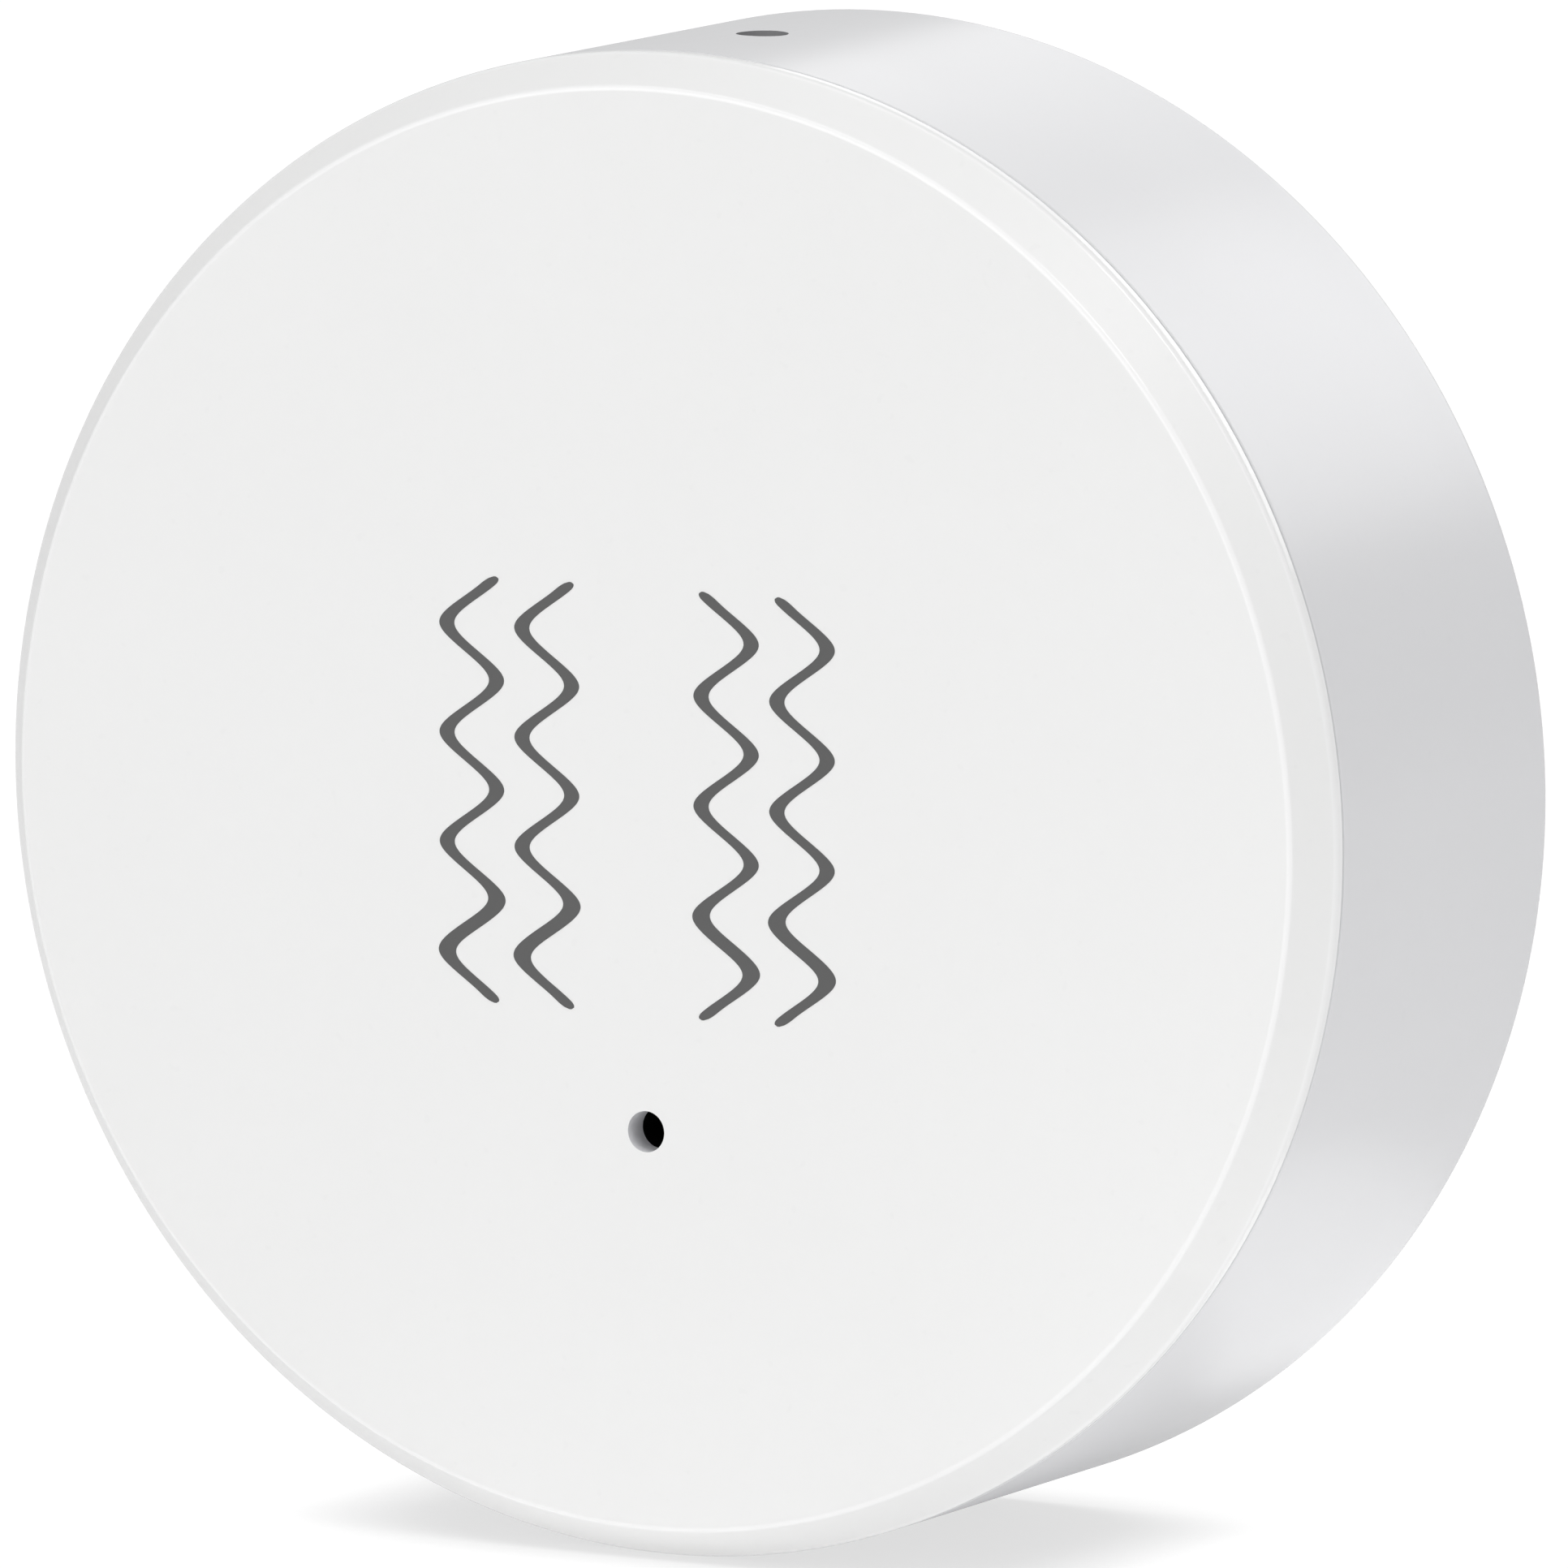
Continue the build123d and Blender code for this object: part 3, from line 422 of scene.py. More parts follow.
finishes = {
    "adhesive_pad": pad_foam,
    "battery_foam_pad": cell_foam,
    "battery_tray": tray_grey,
    "tray_screws": screw_steel,
    "circuit_board": board_green,
    "radio_board": module_black,
    "radio_antenna": plated_gold,
    "radio_shield": tin_plate,
    "radio_chip": chip_black,
    "radio_crystal": tin_plate,
    "reservoir_capacitor": block_yellow,
    "chip_capacitors": ceramic_tan,
    "chip_resistors": chip_black,
    "status_led": lens_green,
    "led_sleeve": sleeve_black,
    "coin_cell_can": cell_steel,
    "coin_cell_gasket": gasket_grey,
    "coin_cell_cap": cell_steel,
    "positive_contact": tin_plate,
    "negative_contact": tin_plate,
    "vibration_switch_tube": tube_blue,
    "vibration_switch_base": chip_black,
    "vibration_switch_pin": plated_gold,
    "vibration_switch_spring": plated_gold,
    "reset_switch_base": switch_black,
    "reset_switch_frame": tin_plate,
    "reset_switch_dome": tin_plate,
    "reset_switch_plunger": switch_black,
}
for name, finish in finishes.items():
    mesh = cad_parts[name].data
    mesh.materials.clear()
    mesh.materials.append(finish)


# Mesh helpers


def show(name, mesh):
    """Object at the origin, in the scene."""
    piece = bpy.data.objects.new(name, mesh)
    bpy.context.scene.collection.objects.link(piece)
    return piece


def at_turn(radius, turn, height):
    """Point at a radius and a turn in degrees about the axis, at a height."""
    return Vector((radius * cos(radians(turn)), -height, radius * sin(radians(turn))))


def rounded(corners):
    """Profile through (radius, height, rounding) corners.

    Support points beside each rounding keep the shading of the flats even.
    """
    points = []
    count = len(corners)
    for index, (radius, height, rounding) in enumerate(corners):
        here = Vector((radius, height))
        if rounding == 0:
            points.append(here)
            continue
        before = Vector(corners[index - 1][:2])
        after = Vector(corners[(index + 1) % count][:2])
        way_in = (here - before).normalized()
        way_out = (after - here).normalized()
        half_turn = way_in.angle(way_out) / 2
        reach = rounding * tan(half_turn)
        centre = here + (way_out - way_in).normalized() * (rounding / cos(half_turn))
        first = here - way_in * reach
        last = here + way_out * reach
        points.append(first - way_in * support_gap)
        for step in range(round_steps + 1):
            share = step / round_steps
            spoke = (first - centre).normalized().slerp((last - centre).normalized(), share)
            points.append(centre + spoke * rounding)
        points.append(last + way_out * support_gap)
    return points


def build_turning_tree():
    """Geometry tree that turns a profile of points about the Y axis, with its seam welded."""
    tree = bpy.data.node_groups.new("turned solid", "GeometryNodeTree")
    new_socket = tree.interface.new_socket
    new_socket(name="Profile", in_out="INPUT", socket_type="NodeSocketGeometry")
    new_socket(name="Steps", in_out="INPUT", socket_type="NodeSocketInt")
    new_socket(name="Weld gap", in_out="INPUT", socket_type="NodeSocketFloat")
    new_socket(name="Finish", in_out="INPUT", socket_type="NodeSocketMaterial")
    new_socket(name="Solid", in_out="OUTPUT", socket_type="NodeSocketGeometry")
    link = tree.links.new
    given = node(tree, "NodeGroupInput")
    result = node(tree, "NodeGroupOutput")
    count = node(tree, "GeometryNodeAttributeDomainSize")
    link(given.outputs["Profile"], count.inputs["Geometry"])
    columns = node(tree, "FunctionNodeIntegerMath", operation="ADD", inputs={1: 1})
    link(given.outputs["Steps"], columns.inputs[0])
    sheet = node(tree, "GeometryNodeMeshGrid")
    link(columns.outputs[0], sheet.inputs["Vertices X"])
    link(count.outputs["Point Count"], sheet.inputs["Vertices Y"])
    index = node(tree, "GeometryNodeInputIndex")
    column = node(tree, "FunctionNodeIntegerMath", operation="DIVIDE_FLOOR")
    row = node(tree, "FunctionNodeIntegerMath", operation="MODULO")
    for split in (column, row):
        link(index.outputs[0], split.inputs[0])
        link(count.outputs["Point Count"], split.inputs[1])
    turn_share = node(tree, "ShaderNodeMath", operation="DIVIDE")
    link(column.outputs[0], turn_share.inputs[0])
    link(given.outputs["Steps"], turn_share.inputs[1])
    angle = node(tree, "ShaderNodeMath", operation="MULTIPLY", inputs={1: 2 * pi})
    link(turn_share.outputs[0], angle.inputs[0])
    place = node(tree, "GeometryNodeInputPosition")
    sample = node(tree, "GeometryNodeSampleIndex", data_type="FLOAT_VECTOR")
    link(given.outputs["Profile"], sample.inputs["Geometry"])
    link(place.outputs[0], sample.inputs["Value"])
    link(row.outputs[0], sample.inputs["Index"])
    turned = node(tree, "ShaderNodeVectorRotate", rotation_type="Y_AXIS")
    link(sample.outputs["Value"], turned.inputs["Vector"])
    link(angle.outputs[0], turned.inputs["Angle"])
    moved = node(tree, "GeometryNodeSetPosition")
    link(sheet.outputs["Mesh"], moved.inputs["Geometry"])
    link(turned.outputs[0], moved.inputs["Position"])
    welded = node(tree, "GeometryNodeMergeByDistance")
    link(moved.outputs[0], welded.inputs["Geometry"])
    link(given.outputs["Weld gap"], welded.inputs["Distance"])
    real = node(tree, "GeometryNodeRealizeInstances")
    link(welded.outputs[0], real.inputs["Geometry"])
    coloured = node(tree, "GeometryNodeSetMaterial")
    link(real.outputs[0], coloured.inputs["Geometry"])
    link(given.outputs["Finish"], coloured.inputs["Material"])
    link(coloured.outputs[0], result.inputs["Solid"])
    return tree


def run_tree(mesh, tree, values):
    """Plain mesh that a geometry tree makes from a mesh and its named inputs."""
    host = show("tree host", mesh)
    modifier = host.modifiers.new("tree", "NODES")
    modifier.node_group = tree
    for socket in tree.interface.items_tree:
        if socket.in_out == "INPUT" and socket.name in values:
            modifier[socket.identifier] = values[socket.name]
    depsgraph = bpy.context.evaluated_depsgraph_get()
    made = bpy.data.meshes.new_from_object(host.evaluated_get(depsgraph))
    host.modifiers.remove(modifier)
    bpy.data.objects.remove(host)
    return made


def tidy(mesh):
    """Weld doubles, drop empty faces and point every face outwards."""
    work = bmesh.new()
    work.from_mesh(mesh)
    bmesh.ops.remove_doubles(work, verts=work.verts, dist=weld_gap)
    bmesh.ops.dissolve_degenerate(work, edges=work.edges, dist=weld_gap)
    bmesh.ops.recalc_face_normals(work, faces=work.faces)
    work.to_mesh(mesh)
    work.free()
    return mesh


def turned(corners, finish):
    """Closed solid turned from a profile of (radius, height, rounding) corners."""
    profile = [Vector((point.x, -point.y, 0)) for point in rounded(corners)]
    if corners[0][0] > 0:
        profile.append(profile[0])
    mesh = bpy.data.meshes.new("profile")
    mesh.from_pydata(profile, [(step, step + 1) for step in range(len(profile) - 1)], [])
    mesh.materials.append(finish)
    values = {"Steps": turn_steps, "Weld gap": weld_gap, "Finish": finish}
    return tidy(run_tree(mesh, turning_tree, values))


def prism(outline, low, high):
    """Closed solid between two heights, over an outline of (x, z) points."""
    count = len(outline)
    points = [Vector((x, -height, z)) for height in (low, high) for x, z in outline]
    faces = [tuple(range(count)), tuple(range(count, 2 * count))]
    for index in range(count):
        after = (index + 1) % count
        faces.append((index, after, count + after, count + index))
    return points, faces


def sector(inner, outer, turn, sweep):
    """Outline of a piece of a ring."""
    steps = max(2, ceil(sector_steps_per_turn * sweep / 360))
    angles = [radians(turn - sweep / 2 + sweep * step / steps) for step in range(steps + 1)]
    outline = [(outer * cos(angle), outer * sin(angle)) for angle in angles]
    return outline + [(inner * cos(angle), inner * sin(angle)) for angle in reversed(angles)]


def disc(x, z, radius):
    """Outline of a round hole or boss."""
    angles = [2 * pi * step / hole_steps for step in range(hole_steps)]
    return [(x + radius * cos(angle), z + radius * sin(angle)) for angle in angles]


def bar(start, end, turn, width):
    """Outline of a bar along a spoke, from one radius to another."""
    way = (cos(radians(turn)), sin(radians(turn)))
    side = (-way[1] * width / 2, way[0] * width / 2)
    return [
        (way[0] * start - side[0], way[1] * start - side[1]),
        (way[0] * end - side[0], way[1] * end - side[1]),
        (way[0] * end + side[0], way[1] * end + side[1]),
        (way[0] * start + side[0], way[1] * start + side[1]),
    ]


def combine(mesh, operation, solids):
    """Join solids to a mesh or cut them from it, and weld the result."""
    points, faces = [], []
    for solid_points, solid_faces in solids:
        shift = len(points)
        points.extend(solid_points)
        faces.extend(tuple(index + shift for index in face) for face in solid_faces)
    tool_mesh = bpy.data.meshes.new("tool")
    tool_mesh.from_pydata(points, [], faces)
    tool_mesh = tidy(tool_mesh)
    tool_mesh.materials.append(mesh.materials[0])
    tool = show("tool", tool_mesh)
    host = show("host", mesh)
    cut = host.modifiers.new("cut", "BOOLEAN")
    cut.operation = operation
    cut.solver = "EXACT"
    cut.use_self = True
    cut.object = tool
    depsgraph = bpy.context.evaluated_depsgraph_get()
    made = bpy.data.meshes.new_from_object(host.evaluated_get(depsgraph))
    host.modifiers.remove(cut)
    bpy.data.objects.remove(host)
    bpy.data.objects.remove(tool)
    return tidy(made)


def finish_piece(name, mesh, finish, body, slot, *nodes, others=()):
    """Give a mesh its finish, smooth it up to its creases and hang it on its body.

    It stands in place of the named nodes. Each of the others is a second finish and a test
    that chooses its faces.
    """
    mesh.materials.clear()
    mesh.materials.append(finish)
    for face in mesh.polygons:
        face.material_index = 0
    for index, (other_finish, chooses) in enumerate(others, 1):
        mesh.materials.append(other_finish)
        for face in mesh.polygons:
            if chooses(face):
                face.material_index = index
    mesh.shade_smooth()
    mesh.set_sharp_from_angle(angle=crease_angle)
    piece = show(name, mesh)
    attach(piece, body)
    if nodes:
        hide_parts(*nodes)
    return piece


turning_tree = build_turning_tree()

# Measures shared by the housing pieces
face_back_height = face_height - face_wall
chamfer_tilt = chamfer_width / (chamfer_width ** 2 + chamfer_depth ** 2) ** 0.5
lip_height = face_height - chamfer_depth
seam_height = lip_height - lip_depth
face_radius = body_radius - chamfer_width
shell_inner_radius = body_radius - shell_wall
skirt_radius = shell_inner_radius - fit_gap
skirt_inner_radius = skirt_radius - skirt_wall
ledge_radius = shell_inner_radius - ledge_width
ledge_front_height = board_front_height + ledge_thickness
skirt_end_height = ledge_front_height + fit_gap
screw_circle = ledge_radius - boss_gap - boss_radius
screw_seats = [at_turn(screw_circle, turn, 0) for turn in screw_turns]
sleeve_radius = (sleeve_high.x - sleeve_low.x) / 2

# Front cover
cover_corners = [
    (0, face_height, 0),
    (face_radius, face_height, face_round),
    (body_radius, lip_height, lip_round),
    (body_radius, seam_height, seam_round),
    (skirt_radius, seam_height, 0),
    (skirt_radius, skirt_end_height + skirt_lead, 0),
    (skirt_radius - skirt_lead, skirt_end_height, 0),
    (skirt_inner_radius, skirt_end_height, 0),
    (skirt_inner_radius, face_back_height, 0),
    (0, face_back_height, 0),
]
cover = turned(cover_corners, cover_white)
sunk_height = face_back_height + face_wall / 2
gusset_end = (skirt_inner_radius + skirt_radius - skirt_lead) / 2
bosses = [disc(seat.x, seat.z, boss_radius) for seat in screw_seats]
added = [prism(boss, board_front_height, sunk_height) for boss in bosses]
for turn in screw_turns:
    gusset = bar(screw_circle, gusset_end, turn, gusset_width)
    added.append(prism(gusset, skirt_end_height, sunk_height))
turret = disc(0, -light_hole_drop, sleeve_radius + fit_gap + turret_wall)
added.append(prism(turret, face_back_height - turret_depth, sunk_height))
key_outline = sector(ledge_radius + fit_gap, skirt_radius - support_gap, key_turn, key_sweep)
added.append(prism(key_outline, board_back_height, sunk_height))
cover = combine(cover, "UNION", added)
pilot_end = face_back_height - pilot_floor
pilots = [disc(seat.x, seat.z, pilot_radius) for seat in screw_seats]
removed = [prism(pilot, board_back_height, pilot_end) for pilot in pilots]
bore = disc(0, -light_hole_drop, sleeve_radius + fit_gap)
removed.append(prism(bore, board_back_height, face_height - light_hole_wall))
cover = combine(cover, "DIFFERENCE", removed)
light_hole = disc(0, -light_hole_drop, light_hole_radius)
light_bore = prism(light_hole, face_back_height, face_height + overrun)
cover = combine(cover, "DIFFERENCE", [light_bore])


def off_axis(point):
    """Distance of a point from the turning axis."""
    return (point.x ** 2 + point.z ** 2) ** 0.5


def on_cover_edge(face):
    """True on the small roundings at the face's rim and at the lip."""
    radius = off_axis(face.center)
    tilt = abs(face.normal.y)
    at_face = abs(radius - face_radius) < face_round
    at_lip = radius > body_radius - lip_round and -face.center.y > seam_height
    by_face = at_face and chamfer_tilt + tilt_margin < tilt < flat_tilt
    by_lip = at_lip and tilt < chamfer_tilt - tilt_margin
    return by_face or by_lip


# The faces this chooses get the darker copy of the cover's white, which paints shade into the bore
def in_light_hole(face):
    """True on the bore of the light hole."""
    aside = (face.center.x ** 2 + (face.center.z + light_hole_drop) ** 2) ** 0.5
    return aside < light_hole_radius + support_gap and abs(face.normal.y) < bore_tilt


# The roundings at the face's rim and lip get the painted highlight
cover_finishes = [(edge_highlight_white, on_cover_edge), (bore_shaded_white, in_light_hole)]
finish_piece(
    "front_cover_skin",
    cover,
    cover_white,
    "housing",
    "white_cover",
    "front_cover",
    others=cover_finishes,
)

# Side shell
shell_corners = [
    (body_radius, rim_height, back_round),
    (body_radius, seam_height - parting_width, seam_round),
    (body_radius - parting_depth, seam_height - parting_width, 0),
    (body_radius - parting_depth, seam_height, 0),
    (shell_inner_radius, seam_height, 0),
    (shell_inner_radius, ledge_front_height, 0),
    (ledge_radius, ledge_front_height, 0),
    (ledge_radius, board_front_height, 0),
    (shell_inner_radius, board_front_height, 0),
    (shell_inner_radius, rim_height, 0),
]
shell = turned(shell_corners, shell_shaded_white)
ring_radius = shell_inner_radius - ring_gap
catch_radius = ring_radius + catch_gap
wall_middle = body_radius - shell_wall / 2
plate_thickness = pad_inner_height + plate_web
catch_low = plate_thickness + catch_rise
lug_high = plate_thickness + lug_rise + lug_thickness
lock_stop = (lug_sweep + stop_sweep) / 2 + stop_play
free_stop = lock_stop + twist
added = []
for turn in lug_turns:
    catch = sector(catch_radius, wall_middle, turn, catch_sweep)
    added.append(prism(catch, catch_low, catch_low + catch_thickness))
    for stop_turn in (turn + lock_stop, turn - free_stop):
        stop = sector(catch_radius, wall_middle, stop_turn, stop_sweep)
        added.append(prism(stop, catch_low, lug_high))
shell = combine(shell, "UNION", added)
notch = sector(ledge_radius - overrun, shell_inner_radius, key_turn, key_sweep + 2 * key_play)
notch_solid = prism(notch, board_front_height - overrun, ledge_front_height + overrun)
# The pinhole's cutter is made along Y, then tipped upright
pin_low = body_radius - shell_wall - overrun / 2
pin_high = pin_low + shell_wall + overrun
lying_pin, pin_faces = prism(disc(0, reset_height, reset_hole_radius), -pin_low, -pin_high)
pin_points = [Vector((point.x, -point.z, point.y)) for point in lying_pin]
shell = combine(shell, "DIFFERENCE", [notch_solid, (pin_points, pin_faces)])


# The faces this chooses get painted shade
def in_pinhole(face):
    """True on the bore of the reset pinhole."""
    aside = (face.center.x ** 2 + (face.center.y + reset_height) ** 2) ** 0.5
    inside = aside < reset_hole_radius + support_gap and face.center.z > 0
    return inside and abs(face.normal.z) < bore_tilt


finish_piece(
    "side_shell_skin",
    shell,
    shell_shaded_white,
    "housing",
    "white_shell",
    "side_shell",
    others=[(pinhole_painted_shade, in_pinhole)],
)

# Back cover
seat_radius = pad_radius + fit_gap
ring_inner = ring_radius - ring_wall
back_corners = [
    (0, pad_inner_height, 0),
    (seat_radius, pad_inner_height, 0),
    (seat_radius, rim_height, 0),
    (plate_radius, rim_height, plate_round),
    (plate_radius, plate_thickness, 0),
    (ring_radius, plate_thickness, 0),
    (ring_radius, lug_high, 0),
    (ring_inner, lug_high, 0),
    (ring_inner, plate_thickness, 0),
    (0, plate_thickness, 0),
]
back = turned(back_corners, plate_white)
added = []
for turn in lug_turns:
    lug = sector(ring_radius - ring_wall / 2, ring_radius + lug_reach, turn, lug_sweep)
    added.append(prism(lug, lug_high - lug_thickness, lug_high))
for turn in screw_turns:
    rib = bar(foam_radius + rib_width / 2, ring_inner + rib_overlap, turn, rib_width)
    added.append(prism(rib, plate_thickness - rib_rise, plate_thickness + rib_rise))
back = combine(back, "UNION", added)
finish_piece("back_cover_skin", back, plate_white, "wall_plate", "white_plate", "back_cover")

# Snap dome under the reset plunger, which flattens it
dome = tidy(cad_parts["reset_switch_dome"].data.copy())
dome_spring = finish_piece(
    "reset_dome_spring", dome, tin_plate, "housing", "tin_plate", "reset_switch_dome"
)
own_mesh(dome_spring)


# Printed mark


def build_mark_tree():
    """Geometry tree for one wavy line: a raised band laid on the face.

    Its width is measured across the line's length, swells at the heavy leg and narrows in a
    round way at both ends.
    """
    tree = bpy.data.node_groups.new("wavy line", "GeometryNodeTree")
    new_socket = tree.interface.new_socket
    new_socket(name="Geometry", in_out="INPUT", socket_type="NodeSocketGeometry")
    labels = ("Length", "Stroke", "Swing", "Half period", "Sharpness", "Side", "Rise")
    for label in labels + ("Heavy leg", "Heavy reach", "Heavy share"):
        new_socket(name=label, in_out="INPUT", socket_type="NodeSocketFloat")
    new_socket(name="Place", in_out="INPUT", socket_type="NodeSocketVector")
    new_socket(name="Finish", in_out="INPUT", socket_type="NodeSocketMaterial")
    new_socket(name="Line", in_out="OUTPUT", socket_type="NodeSocketGeometry")
    link = tree.links.new
    given = node(tree, "NodeGroupInput")
    result = node(tree, "NodeGroupOutput")

    def calculate(operation, *operands):
        made = node(tree, "ShaderNodeMath", operation=operation)
        for slot, operand in enumerate(operands):
            if isinstance(operand, (int, float)):
                made.inputs[slot].default_value = operand
            else:
                link(operand, made.inputs[slot])
        return made.outputs[0]

    band = node(tree, "GeometryNodeMeshGrid", inputs={"Size X": 1})
    band.inputs["Vertices X"].default_value = mark_steps_across
    band.inputs["Vertices Y"].default_value = mark_steps_along
    link(given.outputs["Length"], band.inputs["Size Y"])
    place = node(tree, "GeometryNodeInputPosition")
    split = node(tree, "ShaderNodeSeparateXYZ")
    link(place.outputs[0], split.inputs[0])
    across, along = split.outputs["X"], split.outputs["Y"]
    sharpness, stroke = given.outputs["Sharpness"], given.outputs["Stroke"]
    phase = calculate("MULTIPLY", calculate("DIVIDE", along, given.outputs["Half period"]), pi)
    ripple = calculate("MULTIPLY", calculate("COSINE", phase), sharpness)
    bend = calculate("DIVIDE", calculate("ARCSINE", ripple), calculate("ARCSINE", sharpness))
    swung = calculate("MULTIPLY", bend, given.outputs["Swing"])
    sway = calculate("MULTIPLY", swung, given.outputs["Side"])
    half_length = calculate("MULTIPLY", given.outputs["Length"], 0.5)
    left_over = calculate("SUBTRACT", half_length, calculate("ABSOLUTE", along))
    near_end = calculate("DIVIDE", left_over, calculate("MULTIPLY", stroke, 0.5))
    inside = calculate("SUBTRACT", 1, calculate("MINIMUM", near_end, 1))
    fullness = calculate("SUBTRACT", mark_end_fullness, calculate("POWER", inside, 2))
    taper = calculate("SQRT", fullness)
    past_heavy = calculate("SUBTRACT", along, given.outputs["Heavy leg"])
    from_heavy = calculate("DIVIDE", past_heavy, given.outputs["Heavy reach"])
    squared = calculate("MULTIPLY", from_heavy, from_heavy)
    fade = calculate("POWER", mark_heavy_fade_share, squared)
    weight = calculate("ADD", calculate("MULTIPLY", fade, given.outputs["Heavy share"]), 1)
    width = calculate("MULTIPLY", calculate("MULTIPLY", stroke, weight), taper)
    offset = calculate("MULTIPLY", across, width)
    laid = node(tree, "ShaderNodeCombineXYZ")
    link(calculate("ADD", sway, offset), laid.inputs["X"])
    link(along, laid.inputs["Z"])
    shifted = node(tree, "ShaderNodeVectorMath", operation="ADD")
    link(laid.outputs[0], shifted.inputs[0])
    link(given.outputs["Place"], shifted.inputs[1])
    bottom = node(tree, "GeometryNodeSetPosition")
    link(band.outputs["Mesh"], bottom.inputs["Geometry"])
    link(shifted.outputs[0], bottom.inputs["Position"])
    lift = node(tree, "ShaderNodeCombineXYZ")
    link(calculate("MULTIPLY", given.outputs["Rise"], -1), lift.inputs["Y"])
    top = node(tree, "GeometryNodeExtrudeMesh", inputs={"Individual": False, "Offset Scale": 1.0})
    link(bottom.outputs[0], top.inputs["Mesh"])
    link(lift.outputs[0], top.inputs["Offset"])
    both = node(tree, "GeometryNodeJoinGeometry")
    link(top.outputs["Mesh"], both.inputs[0])
    link(bottom.outputs[0], both.inputs[0])
    real = node(tree, "GeometryNodeRealizeInstances")
    link(both.outputs[0], real.inputs["Geometry"])
    coloured = node(tree, "GeometryNodeSetMaterial")
    link(real.outputs[0], coloured.inputs["Geometry"])
    link(given.outputs["Finish"], coloured.inputs["Material"])
    link(coloured.outputs[0], result.inputs["Line"])
    return tree


mark_tree = build_mark_tree()
mark_length = (mark_bends - 1) * mark_half_period + 2 * mark_end_leg
mark_sunk = mark_rise / 4
mark = bmesh.new()
for side in (-1, 1):
    for column in mark_columns:
        centre_x = mark_centre[0] + side * column
        values = {
            "Length": mark_length,
            "Stroke": mark_stroke,
            "Swing": mark_swing,
            "Half period": mark_half_period,
            "Sharpness": mark_sharpness,
            "Heavy leg": mark_heavy_leg,
            "Heavy reach": mark_heavy_reach,
            "Heavy share": mark_heavy_share,
            "Side": -side,
            "Rise": mark_rise,
            "Place": (centre_x, -face_height + mark_sunk, mark_centre[1]),
            "Finish": print_grey,
        }
        line = tidy(run_tree(bpy.data.meshes.new("seed"), mark_tree, values))
        mark.from_mesh(line)
mark_mesh = bpy.data.meshes.new("printed_mark")
mark.to_mesh(mark_mesh)
mark.free()
finish_piece("printed_mark", mark_mesh, print_grey, "housing", "white_cover")


# Stage, camera and light

# Tone and glow of floor and room: as the camera sees it, as gloss and glass show it, and as
# it lights the object
floor_tone = (0.1, 0.8, 0.8)
floor_glow = (0.94, 0.11, 0.27)
room_glow = (1.0, 0.63, 0.345)

# Soft shadow at the foot: its reach, its glow, and the shares of open sky where it is full
# and where it ends
foot_shadow_reach = 4 * mm
foot_shadow_glow = 0.68
foot_shadow_sky_shares = (0.3, 0.8)

floor_half = 1.2
floor_drop = body_radius
floor_roughness = 0.9
floor_gloss = 0.1

# Camera, fitted to the rim circles in the photo
view_turn = radians(29.1)
view_rise = radians(8.1)
view_distance = 0.6
view_right = 0.453 * mm
view_down = 0.08 * mm
lens_length = 518.4
sensor_width = 36
view_clip = (0.01, 10)

# Each lamp: place from the object's middle in metres, width, height and power. The cards lie
# just above the floor and shine straight up.
lamps = {
    "front_soft": ((-0.3, -0.85, 0.3), 0.9, 0.9, 3.58),
    "top_soft": ((-0.08, -0.12, 0.8), 0.6, 0.6, 1.04),
    "back_strip_right": ((0.135, 0.5, 0.23), 0.25, 0.2, 0.317),
    "back_strip_left": ((-0.115, 0.5, 0.23), 0.25, 0.2, 0.145),
    "upper_right": ((0.44, -0.23, 0.75), 0.3, 0.3, 1.88),
    "side_right": ((0.68, -0.28, 0.52), 0.35, 0.35, 0.43),
    "card_near": ((0.017, 0.016, -0.0198), 0.014, 0.014, 0.00032),
    "card_right": ((0.030, -0.011, -0.0198), 0.03, 0.012, 0.00017),
    "card_front": ((0.024, -0.009, -0.0198), 0.012, 0.012, 0.0003),
}

floor_mesh = bpy.data.meshes.new("floor")
floor_mesh.from_pydata(
    [
        (-floor_half, -floor_half, -floor_drop),
        (floor_half, -floor_half, -floor_drop),
        (floor_half, floor_half, -floor_drop),
        (-floor_half, floor_half, -floor_drop),
    ],
    [],
    [(0, 1, 2, 3)],
)


def by_ray(tree, direct, gloss, bounced):
    """Value that differs for the camera, for gloss or glass, and for bounced light.

    What the camera sees is a number or another node's output.
    """
    path = node(tree, "ShaderNodeLightPath")
    mirrored = node(tree, "ShaderNodeMath", operation="MAXIMUM")
    tree.links.new(path.outputs["Is Glossy Ray"], mirrored.inputs[0])
    tree.links.new(path.outputs["Is Transmission Ray"], mirrored.inputs[1])
    unseen = node(tree, "ShaderNodeMapRange", inputs={"To Min": bounced, "To Max": gloss})
    tree.links.new(mirrored.outputs[0], unseen.inputs["Value"])
    seen = node(tree, "ShaderNodeMapRange")
    if isinstance(direct, float):
        seen.inputs["To Max"].default_value = direct
    else:
        tree.links.new(direct, seen.inputs["To Max"])
    tree.links.new(path.outputs["Is Camera Ray"], seen.inputs["Value"])
    tree.links.new(unseen.outputs["Result"], seen.inputs["To Min"])
    return seen.outputs["Result"]


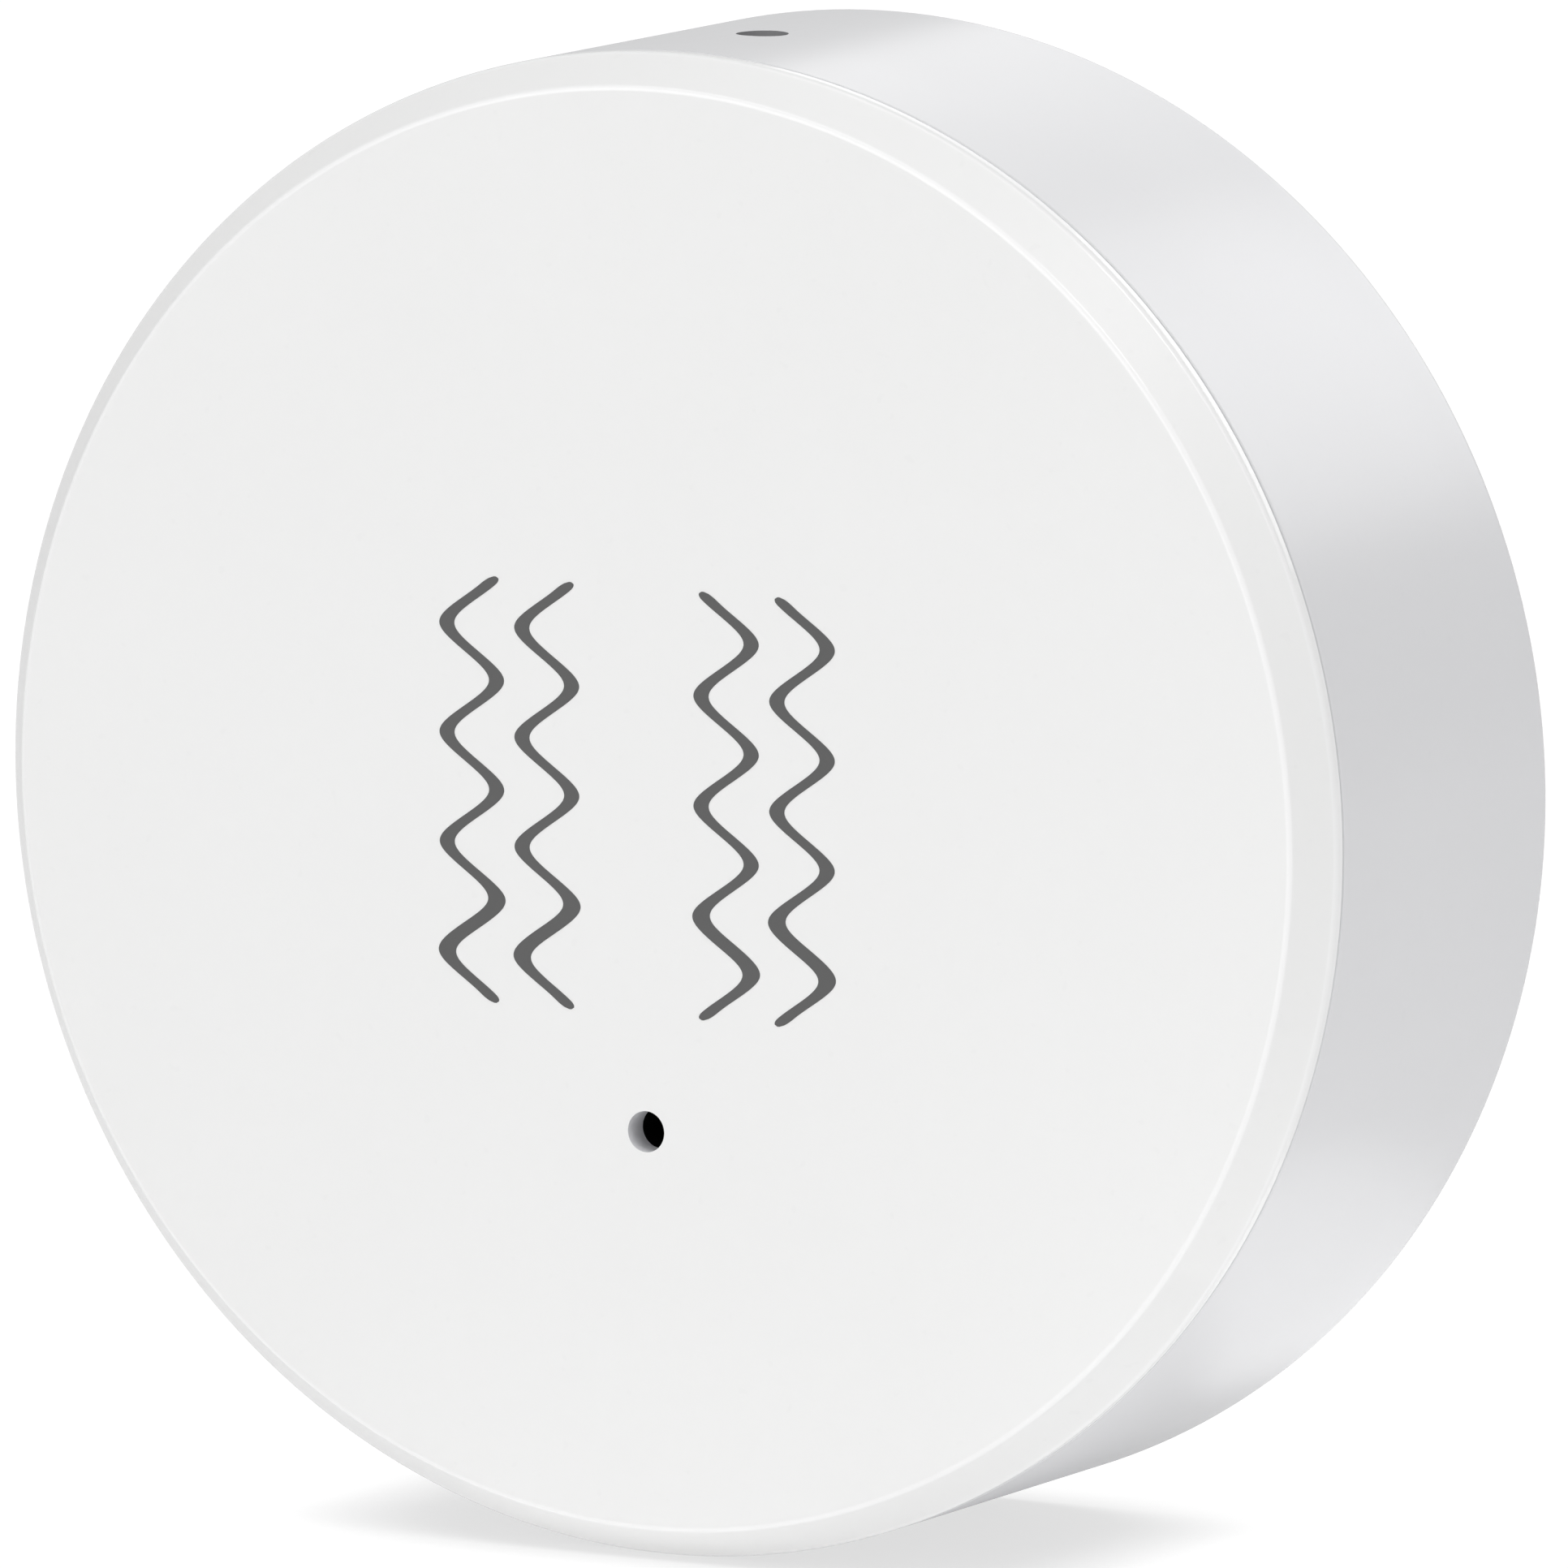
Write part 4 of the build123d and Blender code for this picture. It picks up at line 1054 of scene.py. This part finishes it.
floor_white, tree, surface = new_material("floor_white")
tree.links.new(by_ray(tree, *floor_tone), surface.inputs["Base Color"])
surface.inputs["Roughness"].default_value = floor_roughness
surface.inputs["Specular IOR Level"].default_value = floor_gloss
surface.inputs["Emission Color"].default_value = (1, 1, 1, 1)
glow_inputs = {
    "From Min": foot_shadow_sky_shares[0],
    "From Max": foot_shadow_sky_shares[1],
    "To Min": foot_shadow_glow,
    "To Max": floor_glow[0],
}
open_share = node(tree, "ShaderNodeAmbientOcclusion", inputs={"Distance": foot_shadow_reach})
seen_glow = node(tree, "ShaderNodeMapRange", inputs=glow_inputs)
tree.links.new(open_share.outputs["AO"], seen_glow.inputs["Value"])
glow = by_ray(tree, seen_glow.outputs[0], *floor_glow[1:])
tree.links.new(glow, surface.inputs["Emission Strength"])
floor_mesh.materials.append(floor_white)
floor = show("floor", floor_mesh)

aim = Vector((0, -(face_height + rim_height) / 2, 0))
back_way = Vector(
    (sin(view_turn) * cos(view_rise), -cos(view_turn) * cos(view_rise), sin(view_rise))
)
right_way = Vector((cos(view_turn), sin(view_turn), 0))
up_way = right_way.cross(-back_way)
camera_data = bpy.data.cameras.new("camera")
camera_data.lens = lens_length
camera_data.sensor_width = sensor_width
camera_data.clip_start, camera_data.clip_end = view_clip
camera = bpy.data.objects.new("camera", camera_data)
camera.location = aim + back_way * view_distance + right_way * view_right - up_way * view_down
camera.rotation_mode = "QUATERNION"
camera.rotation_quaternion = (-back_way).to_track_quat("-Z", "Y")
bpy.context.scene.collection.objects.link(camera)
bpy.context.scene.camera = camera

for name, (place, width, height, power) in lamps.items():
    lamp_data = bpy.data.lights.new(name, "AREA")
    lamp_data.shape = "RECTANGLE"
    lamp_data.size = width
    lamp_data.size_y = height
    lamp_data.energy = power
    lamp = bpy.data.objects.new(name, lamp_data)
    lamp.location = aim + Vector(place)
    lamp_back = Vector((0, 0, -1)) if name.startswith("card") else Vector(place)
    lamp.rotation_mode = "QUATERNION"
    lamp.rotation_quaternion = lamp_back.to_track_quat("Z", "Y")
    lamp.visible_camera = False
    bpy.context.scene.collection.objects.link(lamp)

world = bpy.data.worlds.new("studio")
world.use_nodes = True
tree = world.node_tree
room = tree.nodes["Background"]
room.inputs["Color"].default_value = (1, 1, 1, 1)
tree.links.new(by_ray(tree, *room_glow), room.inputs["Strength"])
bpy.context.scene.world = world

bpy.context.scene.view_settings.view_transform = "Standard"
